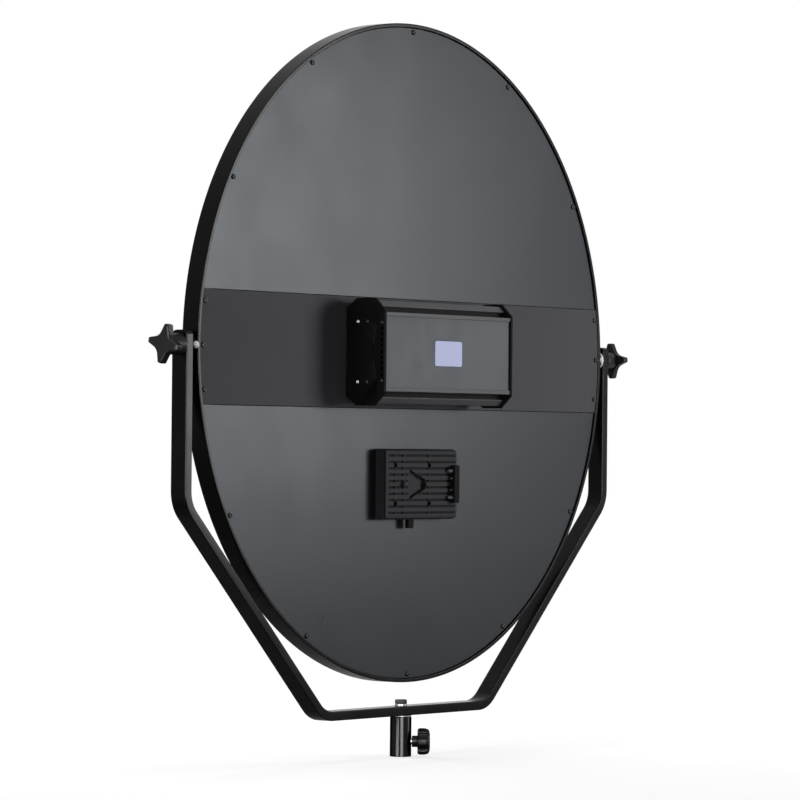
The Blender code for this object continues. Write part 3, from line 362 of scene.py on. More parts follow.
def add_plate(draft, loops, axis, low, high, edge, steps=2):
    """A flat slab with rounded edges. The first loop is its outline and the others are its holes."""
    low, high = sorted((low, high))
    levels = []
    for step in range(steps + 1):
        angle = pi / 2 * step / steps
        levels.append((edge * (1 - sin(angle)), edge * (1 - cos(angle))))
    sections = [(shift, low + depth) for shift, depth in levels]
    sections += [(shift, high - depth) for shift, depth in reversed(levels)]
    borders = ([], [])
    for index, loop in enumerate(loops):
        outline = oriented(loop, index == 0)
        rings = [[draft.verts.new(spot(axis, depth, *point)) for point in inset(outline, shift)]
                 for shift, depth in sections]
        skin(draft, rings)
        borders[0].append(rings[0])
        borders[1].append(rings[-1])
    for rings in borders:
        if len(rings) == 1:
            draft.faces.new(rings[0])
        else:
            edges = [draft.edges.get((ring[i - 1], ring[i])) for ring in rings for i in range(len(ring))]
            bmesh.ops.triangle_fill(draft, use_beauty=True, edges=edges)


def plate(name, loops, axis, low, high, edge, steps=2):
    draft = bmesh.new()
    add_plate(draft, loops, axis, low, high, edge, steps)
    return finish_piece(name, draft)


# Ways to lay a piece that is drawn along +Z: as it is, across the object along +X, or out of its back
UPRIGHT = Matrix.Identity(4)
ACROSS = Matrix(((0, 0, 1, 0), (1, 0, 0, 0), (0, 1, 0, 0), (0, 0, 0, 1)))
OUTWARD = Matrix(((1, 0, 0, 0), (0, 0, 1, 0), (0, 1, 0, 0), (0, 0, 0, 1)))


def at(x, y, z):
    return Matrix.Translation((x, y, z))


PIVOT_PLACE = at(0, 0, PIVOT_Z) @ ACROSS
CLAMP_PLACE = at(0, 0, CLAMP_Z) @ Matrix.Rotation(CLAMP_TURN, 4, "Z") @ ACROSS


def edge_radius(radius, angle, corners=0):
    """The edge of a circle, or of a polygon with that many corners, in one direction."""
    if not corners:
        return radius
    sector = tau / corners
    return radius * cos(sector / 2) / cos(angle % sector - sector / 2)


def turned(name, profile, place=UPRIGHT, sides=48, loop=False):
    """Turn a profile of (radius, height) or (radius, height, corners) about +Z, then put it in place."""
    draft = bmesh.new()
    rings = []
    for radius, height, *corners in profile:
        ring = []
        for index in range(sides):
            angle = tau * index / sides
            size = edge_radius(radius, angle, *corners)
            point = Vector((*polar(size, angle), height))
            ring.append(draft.verts.new(place @ point))
        rings.append(ring)
    if loop:
        skin(draft, rings + rings[:1])
    else:
        skin_and_close(draft, rings)
    return finish_piece(name, draft)


def rod(name, radius, low, high, place):
    return turned(name, [(radius, low), (radius, high)], place, 32)


def stud_holes(near, far):
    """Cutters for the holes that the two tilt studs pass through."""
    return [rod("stud_hole", STUD_HOLE_RADIUS, side * near, side * far, PIVOT_PLACE) for side in (-1, 1)]


def stacked(name, outline, levels, place=UPRIGHT):
    """An outline drawn up along +Z through (scale, height) levels, closed at both ends."""
    draft = bmesh.new()
    rings = [[draft.verts.new(place @ Vector((x * scale, y * scale, height))) for x, y in outline]
             for scale, height in levels]
    skin_and_close(draft, rings)
    return finish_piece(name, draft)


def settle(piece):
    """Turn a piece's modifiers into its mesh."""
    bpy.context.view_layer.update()
    graph = bpy.context.evaluated_depsgraph_get()
    mesh = bpy.data.meshes.new_from_object(piece.evaluated_get(graph))
    mesh.name = piece.name
    piece.modifiers.clear()
    piece.data = mesh
    return piece


def in_mm(pairs):
    """Pairs with their second value given in millimetres."""
    return [(first, second * MM) for first, second in pairs]


def carve(piece, *cutters):
    """Cut closed shapes out of a piece and remove the cutters."""
    piece.modifiers.clear()
    for cutter in cutters:
        modifier = piece.modifiers.new("cut", "BOOLEAN")
        modifier.operation = "DIFFERENCE"
        modifier.solver = "EXACT"
        modifier.object = cutter
    settle(piece)
    for cutter in cutters:
        bpy.data.objects.remove(cutter)
    return shade(piece)


def softened(name, source, width, segments=2):
    """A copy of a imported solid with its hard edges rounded."""
    draft = bmesh.new()
    draft.from_mesh(frame["nodes"][source].data)
    bmesh.ops.remove_doubles(draft, verts=draft.verts, dist=0.01 * MM)
    bmesh.ops.dissolve_limit(draft, angle_limit=radians(1), verts=draft.verts,
                             edges=draft.edges)
    piece = finish_piece(name, draft)
    piece.modifiers.clear()
    bevel = piece.modifiers.new("edges", "BEVEL")
    bevel.width = width
    bevel.segments = segments
    bevel.limit_method = "ANGLE"
    bevel.angle_limit = radians(30)
    bevel.miter_outer = "MITER_ARC"
    settle(piece)
    return shade(piece)


# Materials

def tone(level):
    """The linear value of a grey that shows as this level, from 0 to 255."""
    share = level / 255
    if share <= 0.04045:
        return share / 12.92
    return ((share + 0.055) / 1.055) ** 2.4


def tinted(level, blue=1.0, green=1.0):
    value = tone(level)
    return value, value * green, value * blue


def add_node(tree, kind, values=None, **settings):
    made = tree.nodes.new("ShaderNode" + kind)
    for key, value in settings.items():
        setattr(made, key, value)
    for key, value in (values or {}).items():
        made.inputs[key].default_value = value
    return made


def noise(tree, coordinates, scale, detail, stretch):
    """Noise in the piece's own space, drawn out along an axis if asked."""
    mapping = add_node(tree, "Mapping", {"Scale": stretch})
    texture = add_node(tree, "TexNoise", {"Scale": scale, "Detail": detail})
    tree.links.new(coordinates.outputs["Object"], mapping.inputs["Vector"])
    tree.links.new(mapping.outputs["Vector"], texture.inputs["Vector"])
    return texture.outputs["Fac"]


def between(tree, value, low, high):
    """Map the middle of a noise's range to the span from low to high."""
    limits = {"From Min": NOISE_SPAN[0], "From Max": NOISE_SPAN[1], "To Min": low, "To Max": high}
    mapped = add_node(tree, "MapRange", limits)
    tree.links.new(value, mapped.inputs["Value"])
    return mapped.outputs["Result"]


def shades(tree, value, colours):
    ramp = add_node(tree, "ValToRGB")
    for element, colour, position in zip(ramp.color_ramp.elements, colours, NOISE_SPAN):
        element.position = position
        element.color = (*colour, 1.0)
    tree.links.new(value, ramp.inputs["Fac"])
    return ramp.outputs["Color"]


def paint_shade_at_depth(tree, coordinates, paint, depth, share):
    """Painted shade: take the paint down to a share of itself near one depth, as shade painted on the floors
    of narrow grooves.
    """
    link = tree.links.new
    parts = add_node(tree, "SeparateXYZ")
    link(coordinates.outputs["Object"], parts.inputs[0])
    offset = add_node(tree, "Math", {1: depth}, operation="SUBTRACT")
    link(parts.outputs["Y"], offset.inputs[0])
    distance = add_node(tree, "Math", operation="ABSOLUTE")
    link(offset.outputs[0], distance.inputs[0])
    limits = {"From Min": GAP, "From Max": 3 * GAP, "To Min": share, "To Max": 1.0}
    level = add_node(tree, "MapRange", limits)
    link(distance.outputs[0], level.inputs["Value"])
    scaled = add_node(tree, "VectorMath", operation="SCALE")
    link(paint, scaled.inputs[0])
    link(level.outputs["Result"], scaled.inputs["Scale"])
    return scaled.outputs[0]


def surface(name, colour, roughness, metallic=0.0, specular=0.2, mottle=0.1, cloud=14.0, grain=1100.0,
            relief=0.1, uneven=0.06, stretch=(1.0, 1.0, 1.0), painted_groove_shade=None, extra=None):
    """A coated, moulded or plated surface: uneven colour, uneven gloss, a fine texture and, where asked,
    painted shade at one depth.
    """
    look = bpy.data.materials.new(name)
    look.use_nodes = True
    tree = look.node_tree
    link = tree.links.new
    shader = tree.nodes["Principled BSDF"]
    coordinates = add_node(tree, "TexCoord")
    wide = noise(tree, coordinates, cloud, 5.0, stretch)
    fine = noise(tree, coordinates, grain, 2.0, stretch)
    dark = tuple(value * (1 - mottle) for value in colour)
    light = tuple(value * (1 + mottle) for value in colour)
    blend = add_node(tree, "Mix", {"Factor": 0.3}, data_type="FLOAT")
    link(wide, blend.inputs["A"])
    link(fine, blend.inputs["B"])
    paint = shades(tree, blend.outputs["Result"], (dark, light))
    # painted shade: the colour is darker near one depth, on the floors of grooves
    if painted_groove_shade:
        paint = paint_shade_at_depth(tree, coordinates, paint, *painted_groove_shade)
    link(paint, shader.inputs["Base Color"])
    rough = between(tree, wide, roughness - uneven, roughness + uneven)
    link(rough, shader.inputs["Roughness"])
    bump = add_node(tree, "Bump", {"Strength": relief, "Distance": 0.1 * MM})
    link(fine, bump.inputs["Height"])
    link(bump.outputs["Normal"], shader.inputs["Normal"])
    shader.inputs["Metallic"].default_value = metallic
    shader.inputs["Specular IOR Level"].default_value = specular
    for key, value in (extra or {}).items():
        shader.inputs[key].default_value = value
    return look


def make_looks():
    """A finish for every material slot of the record."""
    drawn = (0.04, 1.0, 1.0)
    return {
        "black_aluminium": surface("satin_black_coat", tinted(20, 1.06), 0.21, 0.0, 0.05, grain=1600.0),
        "bare_aluminium": surface("mill_aluminium", tinted(200), 0.35, 1.0, stretch=drawn),
        "grey_plate": surface("satin_grey_coat", tinted(34, 1.3, 1.08), 0.3, 0.0, 0.1, mottle=0.06,
                              cloud=9.0, grain=1300.0, relief=0.14, uneven=0.04,
                              extra={"Specular Tint": COOL}),
        "dark_plate": surface("satin_dark_grey_coat", tinted(88, 1.1, 1.0), 0.6, 0.0, 0.0, mottle=0.05,
                              cloud=9.0, grain=1300.0, relief=0.14),
        "opal_acrylic": surface("opal_acrylic", (0.86, 0.86, 0.85), 0.4, 0.0, 0.4, mottle=0.015, cloud=6.0,
                                grain=700.0, relief=0.05, extra={"Subsurface Weight": 0.1}),
        "clear_acrylic": surface("clear_acrylic", (0.9, 0.92, 0.93), 0.08, 0.0, 0.5, mottle=0.02,
                                 uneven=0.03, extra={"Transmission Weight": 0.9}),
        "white_film": surface("white_film", (0.88, 0.88, 0.88), 0.6, mottle=0.02),
        "foam": surface("foam", (0.02, 0.02, 0.02), 0.9, mottle=0.3, grain=2200.0, relief=0.6),
        "led_board": surface("led_board", (0.8, 0.8, 0.74), 0.45, mottle=0.04),
        "black_screw": surface("black_oxide", tinted(22), 0.34, 0.3, 0.2, mottle=0.2, cloud=300.0),
        "case_aluminium": surface("anodised_grey", tinted(78, 1.08, 1.02), 0.36, 0.0, 0.06, mottle=0.2,
                                  cloud=20.0, grain=1500.0, relief=0.1, stretch=drawn),
        "face_aluminium": surface("satin_face", tinted(82, 1.16, 1.05), 0.46, 0.0, 0.1, mottle=0.06,
                                  cloud=34.0, grain=1700.0, relief=0.18, extra={"Specular Tint": COOL}),
        "display_window": surface("blank_window", (0.52, 0.56, 0.86), 0.3, 0.0, 0.08, mottle=0.05,
                                  cloud=30.0, relief=0.0, uneven=0.04),
        "black_plastic": surface("fine_black_plastic", tinted(12), 0.5, 0.0, 0.02, mottle=0.18,
                                 grain=2400.0, relief=0.3),
        "plate_plastic": surface("fine_grey_plastic", tinted(58, 1.12, 1.03), 0.5, 0.0, 0.02, mottle=0.12,
                                 cloud=40.0, grain=2000.0, relief=0.25,
                                 # painted shade on the floors of the plate's grooves
                                 painted_groove_shade=(BATTERY_HIGH.y - GROOVE_DEPTH, 0.22)),
        "knob_plastic": surface("satin_black_plastic", tinted(11), 0.4, 0.0, 0.1, mottle=0.15,
                                grain=2000.0, relief=0.15),
        "circuit_board": surface("solder_mask", (0.02, 0.14, 0.06), 0.35, 0.0, 0.5, mottle=0.15, cloud=60.0),
        "bright_steel": surface("zinc_plate", tinted(125), 0.4, 1.0, mottle=0.12, cloud=90.0, grain=900.0),
        "black_chrome": surface("black_chrome", tinted(40), 0.3, 1.0, mottle=0.1, cloud=40.0, uneven=0.03,
                                relief=0.03, extra={"Specular Tint": (0.1, 0.1, 0.1, 1.0),
                                                    "Anisotropic": 1.0, "Anisotropic Rotation": 0.25}),
        "white_nylon": surface("white_nylon", (0.8, 0.8, 0.78), 0.5, 0.0, 0.35, mottle=0.03, cloud=90.0,
                               extra={"Subsurface Weight": 0.08}),
    }


def fit(piece, body, slot, *nodes):
    """Give a piece its finish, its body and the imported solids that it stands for."""
    piece.data.materials.clear()
    piece.data.materials.append(LOOKS[slot])
    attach(piece, body)
    if nodes:
        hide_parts(*nodes)
    return piece


def dress_solids():
    """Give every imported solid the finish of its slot."""
    for row in frame["record"]["subparts"]:
        solid = frame["nodes"][row["node"]]
        look = LOOKS[row["material_slot"]]
        if not solid.material_slots:
            solid.data.materials.append(look)
        for material_slot in solid.material_slots:
            material_slot.material = look


# Disc

def make_ring():
    """The rim's channel, with the fine seam where its ends meet and a hole for each pivot stud."""
    corners = [(DISC_RADIUS, FRONT_Y), (DISC_RADIUS, BACK_Y), (DISC_RADIUS - BEAD_WIDTH, BACK_Y),
               (DISC_RADIUS - BEAD_WIDTH, LEDGE_TOP_Y), (LEDGE_INNER_RADIUS, LEDGE_TOP_Y),
               (LEDGE_INNER_RADIUS, LEDGE_TOP_Y - LEDGE_THICKNESS),
               (DISC_RADIUS - WALL, LEDGE_TOP_Y - LEDGE_THICKNESS),
               (DISC_RADIUS - WALL, FRONT_Y + LIP_THICKNESS), (LIP_INNER_RADIUS, FRONT_Y + LIP_THICKNESS),
               (LIP_INNER_RADIUS, FRONT_Y)]
    profile = round_corners(corners, RING_EDGE)
    gap = SEAM_GAP / DISC_RADIUS
    draft = bmesh.new()
    rings = []
    for index in range(RING_SIDES + 1):
        angle = SEAM_ANGLE + gap / 2 + (tau - gap) * index / RING_SIDES
        rings.append([draft.verts.new((radius * cos(angle), y, PIVOT_Z + radius * sin(angle)))
                      for radius, y in profile])
    skin_and_close(draft, rings)
    ring = finish_piece("rim_ring", draft)
    holes = stud_holes(DISC_RADIUS - 3 * WALL, DISC_RADIUS + WALL)
    fit(carve(ring, *holes), "head", "black_aluminium", "rim_frame")


def slice_outline(radius, low, high, steps=120):
    """The part of the disc between two heights from its middle."""
    first = asin(max(-1.0, low / radius))
    last = asin(min(1.0, high / radius))
    angles = [first + (last - first) * step / steps for step in range(steps + 1)]
    right = [(radius * cos(angle), PIVOT_Z + radius * sin(angle)) for angle in angles]
    left = [(-x, z) for x, z in reversed(right) if x > 0.1 * MM]
    return right + left


def make_back():
    """The two grey sheets and the darker band between them."""
    middle = BAND_Z - PIVOT_Z
    low = middle - BAND_HALF
    high = middle + BAND_HALF
    plates = (PLATE_TOP_Y, "grey_plate")
    sheets = [("upper_sheet", "back_plate_upper", high + PLATE_SEAM, PLATE_RADIUS, *plates),
              ("lower_sheet", "back_plate_lower", -PLATE_RADIUS, low - PLATE_SEAM, *plates),
              ("band_sheet", "band_plate", low, high, BAND_TOP_Y, "dark_plate")]
    for name, node, bottom, top, face, slot in sheets:
        sheet = plate(name, [slice_outline(PLATE_RADIUS, bottom, top)], 1, PLATE_BASE_Y, face, 0.45 * MM)
        fit(sheet, "head", slot, node)


def screw(name, radius, shank, length, height, place):
    """A pan-head screw with a hexagonal recess, drawn with the underside of its head at zero."""
    recess = radius * RECESS_SHARE
    profile = [(shank, -length), (shank, 0), (radius, 0), (radius, height * 0.55),
               (radius * 0.93, height * 0.85), (radius * 0.78, height), (recess * 1.12, height),
               (recess, height * 0.93, 6), (recess, height * 0.35, 6)]
    return turned(name, profile, place, 36)


def make_rim_screws():
    for index in range(RIM_SCREWS):
        node = f"rim_screw_{index + 1:02d}"
        low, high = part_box(node)
        middle = (low + high) / 2
        place = at(middle.x, high.y - SCREW_HEAD_HEIGHT, middle.z) @ OUTWARD
        piece = screw(f"rim_screw_head_{index + 1:02d}", SCREW_HEAD_RADIUS, SCREW_SHANK_RADIUS,
                      RIM_SCREW_LENGTH, SCREW_HEAD_HEIGHT, place)
        fit(piece, "head", "black_screw", node)


# Control box

def mirrored_about_band(half):
    """Close an outline given for its upper half, as (y, height from the band's middle) pairs."""
    upper = [(y, BAND_Z + height) for y, height in half]
    lower = [(y, BAND_Z - height) for y, height in reversed(half)]
    return upper + lower


def make_case():
    """The extruded housing with its chamfered shoulders, panel slot and channels, whose floors get a darker
    material as painted shade.
    """
    slot_top = PANEL_HALF_HEIGHT + GAP
    slot_lip = PANEL_HALF_HEIGHT - CASE_SLOT_LIP
    chamfer_y, chamfer_z = CASE_BASE_CHAMFER
    outer = [(CASE_LOW.y, CASE_HALF_HEIGHT - chamfer_z), (CASE_LOW.y + chamfer_y, CASE_HALF_HEIGHT),
             (CASE_SIDE_Y, CASE_HALF_HEIGHT),
             (CASE_SHOULDER_Y, CASE_SHOULDER_HALF), (CASE_SHOULDER_Y, CASE_CHANNEL_HALF),
             (CASE_CHANNEL_Y, CASE_CHANNEL_HALF), (CASE_CHANNEL_Y, CASE_LIP_HALF),
             (CASE_HIGH.y, CASE_LIP_HALF), (CASE_HIGH.y, slot_lip), (PANEL_TOP_Y + GAP, slot_lip),
             (PANEL_TOP_Y + GAP, slot_top), (PANEL_BASE_Y - GAP, slot_top)]
    inside = CASE_HALF_HEIGHT - CASE_WALL
    floor = CASE_CHANNEL_Y - CASE_WALL
    share = (chamfer_z - CASE_INNER_STEP) / chamfer_z
    inner = [(CASE_LOW.y + CASE_WALL, inside - chamfer_z * share),
             (CASE_LOW.y + CASE_WALL + chamfer_y * share, inside), (floor - 2.5 * MM, inside),
             (floor, inside - 2.5 * MM), (floor, CASE_INNER_HALF),
             (PANEL_BASE_Y - GAP - CASE_WALL, CASE_INNER_HALF)]
    loops = [round_corners(mirrored_about_band(outer), 0.45 * MM), mirrored_about_band(inner)]
    shell = fit(plate("case_shell", loops, 0, CASE_LOW.x, CASE_HIGH.x, 0.12 * MM), "head", "case_aluminium",
                "control_case")
    # The channel floors get a second, darker material: painted shade where the channels lie in shadow.
    shell.data.materials.append(surface("painted_shade_channel_floor", tinted(34), 0.6, 0.0, 0.02, cloud=30.0))
    for face in shell.data.polygons:
        if abs(face.center.y - CASE_CHANNEL_Y) < GAP and face.normal.y > 0.9:
            face.material_index = 1


def make_panel():
    """The flat face in the housing's slot and the blank window in its middle."""
    low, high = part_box("face_panel")
    window_low, window_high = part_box("display_window")
    face = rectangle(low.x, high.x, low.z, high.z)
    pane = rectangle(window_low.x, window_high.x, window_low.z, window_high.z)
    hole = rectangle(window_low.x - GAP, window_high.x + GAP, window_low.z - GAP, window_high.z + GAP)
    loops = [face, round_corners(hole, WINDOW_RADIUS + GAP, 6)]
    fit(plate("face_sheet", loops, 1, low.y, high.y, 0.25 * MM), "head", "face_aluminium", "face_panel")
    pane = plate("window_pane", [round_corners(pane, WINDOW_RADIUS, 6)], 1, window_low.y, window_high.y,
                 0.4 * MM)
    fit(pane, "head", "display_window", "display_window")


def vent_loops():
    centres = [BAND_Z + (index - (VENT_COUNT - 1) / 2) * VENT_PITCH for index in range(VENT_COUNT)]
    return [round_corners(rectangle(*VENT_Y, z - VENT_HALF, z + VENT_HALF), 0.6 * MM) for z in centres]


def arc_across(half, sagitta, crown, lean):
    """An arc over the band's middle. Its ends lie outward of the crown, or inward where lean is -1."""
    radius = (half ** 2 + sagitta ** 2) / (2 * sagitta)
    spread = asin(half / radius)
    points = []
    for step in range(ARC_STEPS + 1):
        angle = spread * (2 * step / ARC_STEPS - 1)
        points.append((crown + lean * radius * (1 - cos(angle)), BAND_Z + radius * sin(angle)))
    return points


def hollows(side):
    """Cutters for the two shallow bowed hollows of an end plate, beside its vents and along its base."""
    near, far = BOW_Y
    crescent = arc_across(BOW_HALF, BOW_SAGITTA, near, 1)
    crescent += [(far, BAND_Z + BOW_HALF), (far, BAND_Z - BOW_HALF)]
    waist = arc_across(WAIST_HALF, WAIST_SAGITTA, END_LOW.y + WAIST_REACH, -1)
    floor = side * (END_HIGH.x - BOW_DEPTH)
    return [plate("hollow", [outline], 0, floor, side * (END_HIGH.x + 2 * MM), 0.02 * MM)
            for outline in (crescent, waist)]


def make_case_ends():
    """The end plates with their vents, their bowed hollows and, at the far end, the controls."""
    chamfer_y, chamfer_z = END_BASE_CHAMFER
    outline = mirrored_about_band([
        (END_LOW.y, END_HALF_HEIGHT - chamfer_z), (END_LOW.y + chamfer_y, END_HALF_HEIGHT),
        (END_HIGH.y - END_CHAMFER, END_HALF_HEIGHT), (END_HIGH.y, END_HALF_HEIGHT - END_CHAMFER)])
    outline = round_corners(outline, 1.2 * MM)
    switch_low, switch_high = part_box("power_switch")
    controls = [circle(DIAL_SHAFT_RADIUS + GAP, 24, (CONTROL_Y, z)) for z in DIAL_HEIGHTS]
    controls.append(rectangle(switch_low.y - 1 * MM, switch_high.y + 1 * MM,
                              switch_low.z - 1.5 * MM, switch_high.z + 1.5 * MM))
    controls.append(circle(INLET_RADIUS + GAP, 32, (CONTROL_Y, INLET_Z)))
    for side, label, openings in ((1, "left", []), (-1, "right", controls)):
        near = side * END_LOW.x
        far = side * END_HIGH.x
        end = plate("end_plate_" + label, [outline] + vent_loops() + openings, 0, near, far, 0.5 * MM)
        fit(carve(end, *hollows(side)), "head", "black_plastic", "case_end_" + label)
        make_end_screws(side, label)


def make_end_screws(side, label):
    face = side * (END_HIGH.x + 0.05 * MM)
    for row, level in (("upper", 1), ("lower", -1)):
        for name, y, height, radius in END_SCREWS:
            place = at(face, y, BAND_Z + level * height) @ Matrix.Scale(side, 4, (1, 0, 0)) @ ACROSS
            piece = screw(f"end_screw_{label}_{row}_{name}", radius, END_SCREW_HEAD, END_SCREW_LENGTH,
                          END_SCREW_HEAD, place)
            fit(piece, "head", "bright_steel" if name == "bright" else "black_screw")


def dial_outline(flutes, radius, depth, steps=8):
    """A circle with round flutes pressed into it."""
    points = []
    for index in range(flutes * steps):
        angle = tau * index / (flutes * steps)
        wave = 0.5 - 0.5 * cos(flutes * angle)
        points.append(polar(radius - depth * wave ** 2, angle))
    return points


def make_dials():
    """Fluted caps with a raised white pointer, and a ring of plain marks on the end plate round each."""
    levels = in_mm([(0.96, 0), (1.0, 0.5), (0.97, 11), (0.93, 12.3), (0.86, 13), (0.8, 12.7)])
    near, far = POINTER_SPAN
    for name, z in zip(("brightness", "color"), DIAL_HEIGHTS):
        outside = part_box(name + "_dial")[0].x
        back = -END_HIGH.x - DIAL_CLEARANCE
        place = at(back, CONTROL_Y, z) @ Matrix.Scale(-1, 4, (1, 0, 0)) @ ACROSS
        cap = stacked(name + "_cap", dial_outline(DIAL_FLUTES, DIAL_RADIUS, DIAL_FLUTE_DEPTH), levels, place)
        fit(cap, name + "_dial", "black_plastic", name + "_dial")
        shaft = rod(name + "_shaft", DIAL_SHAFT_RADIUS, -DIAL_SHAFT_IN, 0.5 * MM, place)
        fit(shaft, name + "_dial", "bright_steel")
        bar = rectangle(CONTROL_Y - POINTER_HALF, CONTROL_Y + POINTER_HALF, z + near, z + far)
        pointer = plate(name + "_pointer", [round_corners(bar, 0.5 * MM)], 0, outside,
                        outside + 0.8 * MM, 0.1 * MM)
        fit(pointer, name + "_dial", "white_nylon")
        make_dial_scale(name, z)


def make_dial_scale(name, z):
    """Short raised marks over the dial's travel, with every fifth one longer."""
    draft = bmesh.new()
    for index in range(SCALE_MARKS):
        angle = radians(-DIAL_TRAVEL / 2 + DIAL_TRAVEL * index / (SCALE_MARKS - 1))
        turn = Matrix.Rotation(angle, 2)
        length = MARK_LONG if index % 5 == 0 else MARK_SHORT
        corners = rectangle(-MARK_HALF, MARK_HALF, MARK_START, MARK_START + length)
        outline = [tuple(turn @ Vector(corner) + Vector((CONTROL_Y, z))) for corner in corners]
        add_plate(draft, [outline], 0, -END_HIGH.x - 0.12 * MM, -END_HIGH.x + 0.2 * MM, 0.04 * MM, 1)
    fit(finish_piece(name + "_scale", draft), "head", "white_nylon")


def make_switch_and_inlet():
    rocker = softened("rocker", "power_switch", 0.5 * MM, 3)
    fit(rocker, "power_switch", "black_plastic", "power_switch")
    socket = softened("inlet_body", "power_inlet", 0.3 * MM)
    fit(socket, "head", "black_plastic", "power_inlet")
    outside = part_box("power_inlet")[0].x
    place = at(outside, CONTROL_Y, INLET_Z) @ ACROSS
    fit(turned("inlet_pin", [(1 * MM, 13 * MM), (1 * MM, 4 * MM), (0.6 * MM, 3.3 * MM)], place), "head",
        "bright_steel")
    ring = round_corners([(6.4 * MM, 0.2 * MM), (7.8 * MM, 0.2 * MM), (7.8 * MM, -0.7 * MM),
                          (6.4 * MM, -0.7 * MM)], 0.25 * MM)
    fit(turned("inlet_ring", ring, place, loop=True), "head", "bright_steel")


# Battery plate

def make_battery():
    """The grooved plate with the ribs that cross its grooves, its catch, release and screws."""
    fit(softened("battery_base", "battery_plate", 0.3 * MM), "head", "plate_plastic", "battery_plate")
    draft = bmesh.new()
    for x, near, far in RIBS:
        spans = [(near, far), (-far, -near)] if near else [(-far, far)]
        for low, high in spans:
            outline = rectangle(BATTERY_MID.x + x - RIB_WIDTH / 2, BATTERY_MID.x + x + RIB_WIDTH / 2,
                                BATTERY_MID.z + low, BATTERY_MID.z + high)
            add_plate(draft, [outline], 1, BATTERY_HIGH.y - GROOVE_DEPTH - GAP,
                      BATTERY_HIGH.y - RIB_DROP, 0.2 * MM)
    fit(finish_piece("battery_ribs", draft), "head", "plate_plastic")
    make_contacts()
    fit(softened("release_stub", "release_button", 0.6 * MM, 3), "release_button", "black_plastic",
        "release_button")
    low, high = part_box("battery_catch")
    radius = (high.x - low.x) / 2
    profile = [(radius, low.y), (radius, high.y - 1.2 * MM), (radius * 0.93, high.y - 0.6 * MM),
               (radius * 0.75, high.y - 0.2 * MM), (radius * 0.45, high.y)]
    place = at((low.x + high.x) / 2, 0, (low.z + high.z) / 2) @ OUTWARD
    fit(turned("catch_pin", profile, place), "battery_catch", "plate_plastic", "battery_catch")
    for number in range(1, BATTERY_SCREWS + 1):
        make_battery_screw(number)


def make_battery_screw(number):
    low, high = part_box(f"battery_plate_screw_{number}")
    middle = (low + high) / 2
    place = at(middle.x, low.y, middle.z) @ OUTWARD
    height = high.y - low.y
    radius = (high.x - low.x) / 2
    profile = [(radius, 0), (radius, height * 0.8), (radius * 0.9, height), (radius * 0.56, height),
               (radius * 0.5, height * 0.95, 6), (radius * 0.5, height * 0.4, 6)]
    fit(turned(f"battery_screw_head_{number}", profile, place, 36), "head", "black_screw",
        f"battery_plate_screw_{number}")


def make_contacts():
    """The contact block at the plate's far side and the four pins that point from it across the plate."""
    low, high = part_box("contact_block")
    wall = high.x - CONTACT_ROOM
    outline = round_corners(rectangle(low.x, wall, low.z, high.z), 1 * MM)
    fit(plate("contact_housing", [outline], 1, low.y, high.y, 0.6 * MM, 3), "head", "black_plastic",
        "contact_block")
    for number, (height, radius, length) in enumerate(CONTACT_PINS, 1):
        profile = [(radius, -1 * MM), (radius, length - 1.2 * MM), (radius * 0.85, length - 0.5 * MM),
                   (radius * 0.5, length)]
        place = at(wall, BATTERY_HIGH.y + CONTACT_PIN_LIFT, BATTERY_MID.z + height) @ ACROSS
        fit(turned(f"contact_pin_{number}", profile, place, 24), "head", "face_aluminium")


# Yoke and pivots

def yoke_path():
    """Points along the middle of the bar, each with its outward direction in the (X, Z) plane."""
    centre_line = YOKE_HALF_WIDTH - YOKE_THICKNESS / 2
    corner_x = YOKE_HALF_WIDTH - (YOKE_CORNER_Z - YOKE_BOTTOM_Z)
    turns = [(-YOKE_HALF_WIDTH, YOKE_CORNER_Z), (-corner_x, YOKE_BOTTOM_Z), (corner_x, YOKE_BOTTOM_Z),
             (YOKE_HALF_WIDTH, YOKE_CORNER_Z)]
    radius = YOKE_BEND_RADIUS - YOKE_THICKNESS / 2
    path = []
    for index, (x, z) in enumerate(turns):
        start = 180 + BEND_ANGLE * index
        inward = radians(start + BEND_ANGLE / 2)
        reach_in = YOKE_BEND_RADIUS / cos(radians(BEND_ANGLE / 2))
        centre = (x - reach_in * cos(inward), z - reach_in * sin(inward))
        for step in range(BEND_STEPS + 1):
            angle = radians(start + BEND_ANGLE * step / BEND_STEPS)
            facing = polar(1, angle)
            path.append(((centre[0] + radius * facing[0], centre[1] + radius * facing[1]), facing))
    return centre_line, path


def make_yoke():
    """The flat bar, drawn along its bends, with round ends and softened edges."""
    centre_line, path = yoke_path()
    rounding = []
    for step in range(END_STEPS + 1):
        angle = pi / 2 * step / END_STEPS
        rounding.append((YOKE_END_RADIUS * (1 - cos(angle)), YOKE_END_RADIUS * (1 - sin(angle))))
    left, right = ([((side * centre_line, YOKE_TOP_Z - drop), (side, 0), YOKE_HALF_DEPTH - narrow)
                    for drop, narrow in rounding] for side in (-1, 1))
    stations = left + [(point, facing, YOKE_HALF_DEPTH) for point, facing in path] + right[::-1]
    draft = bmesh.new()
    rings = []
    for (x, z), (out_x, out_z), half_depth in stations:
        half = YOKE_THICKNESS / 2
        section = round_corners(rectangle(-half, half, -half_depth, half_depth), YOKE_EDGE)
        rings.append([draft.verts.new((x + out_x * across, y, z + out_z * across))
                      for across, y in section])
    skin_and_close(draft, rings)
    bar = finish_piece("yoke_bar", draft)
    holes = stud_holes(YOKE_HALF_WIDTH - 2 * YOKE_THICKNESS, YOKE_HALF_WIDTH + YOKE_THICKNESS)
    holes.append(rod("bolt_hole", STUD_HOLE_RADIUS, YOKE_BOTTOM_Z - YOKE_THICKNESS,
                     YOKE_BOTTOM_Z + 2 * YOKE_THICKNESS, UPRIGHT))
    fit(carve(bar, *holes), "yoke", "black_aluminium", "yoke")


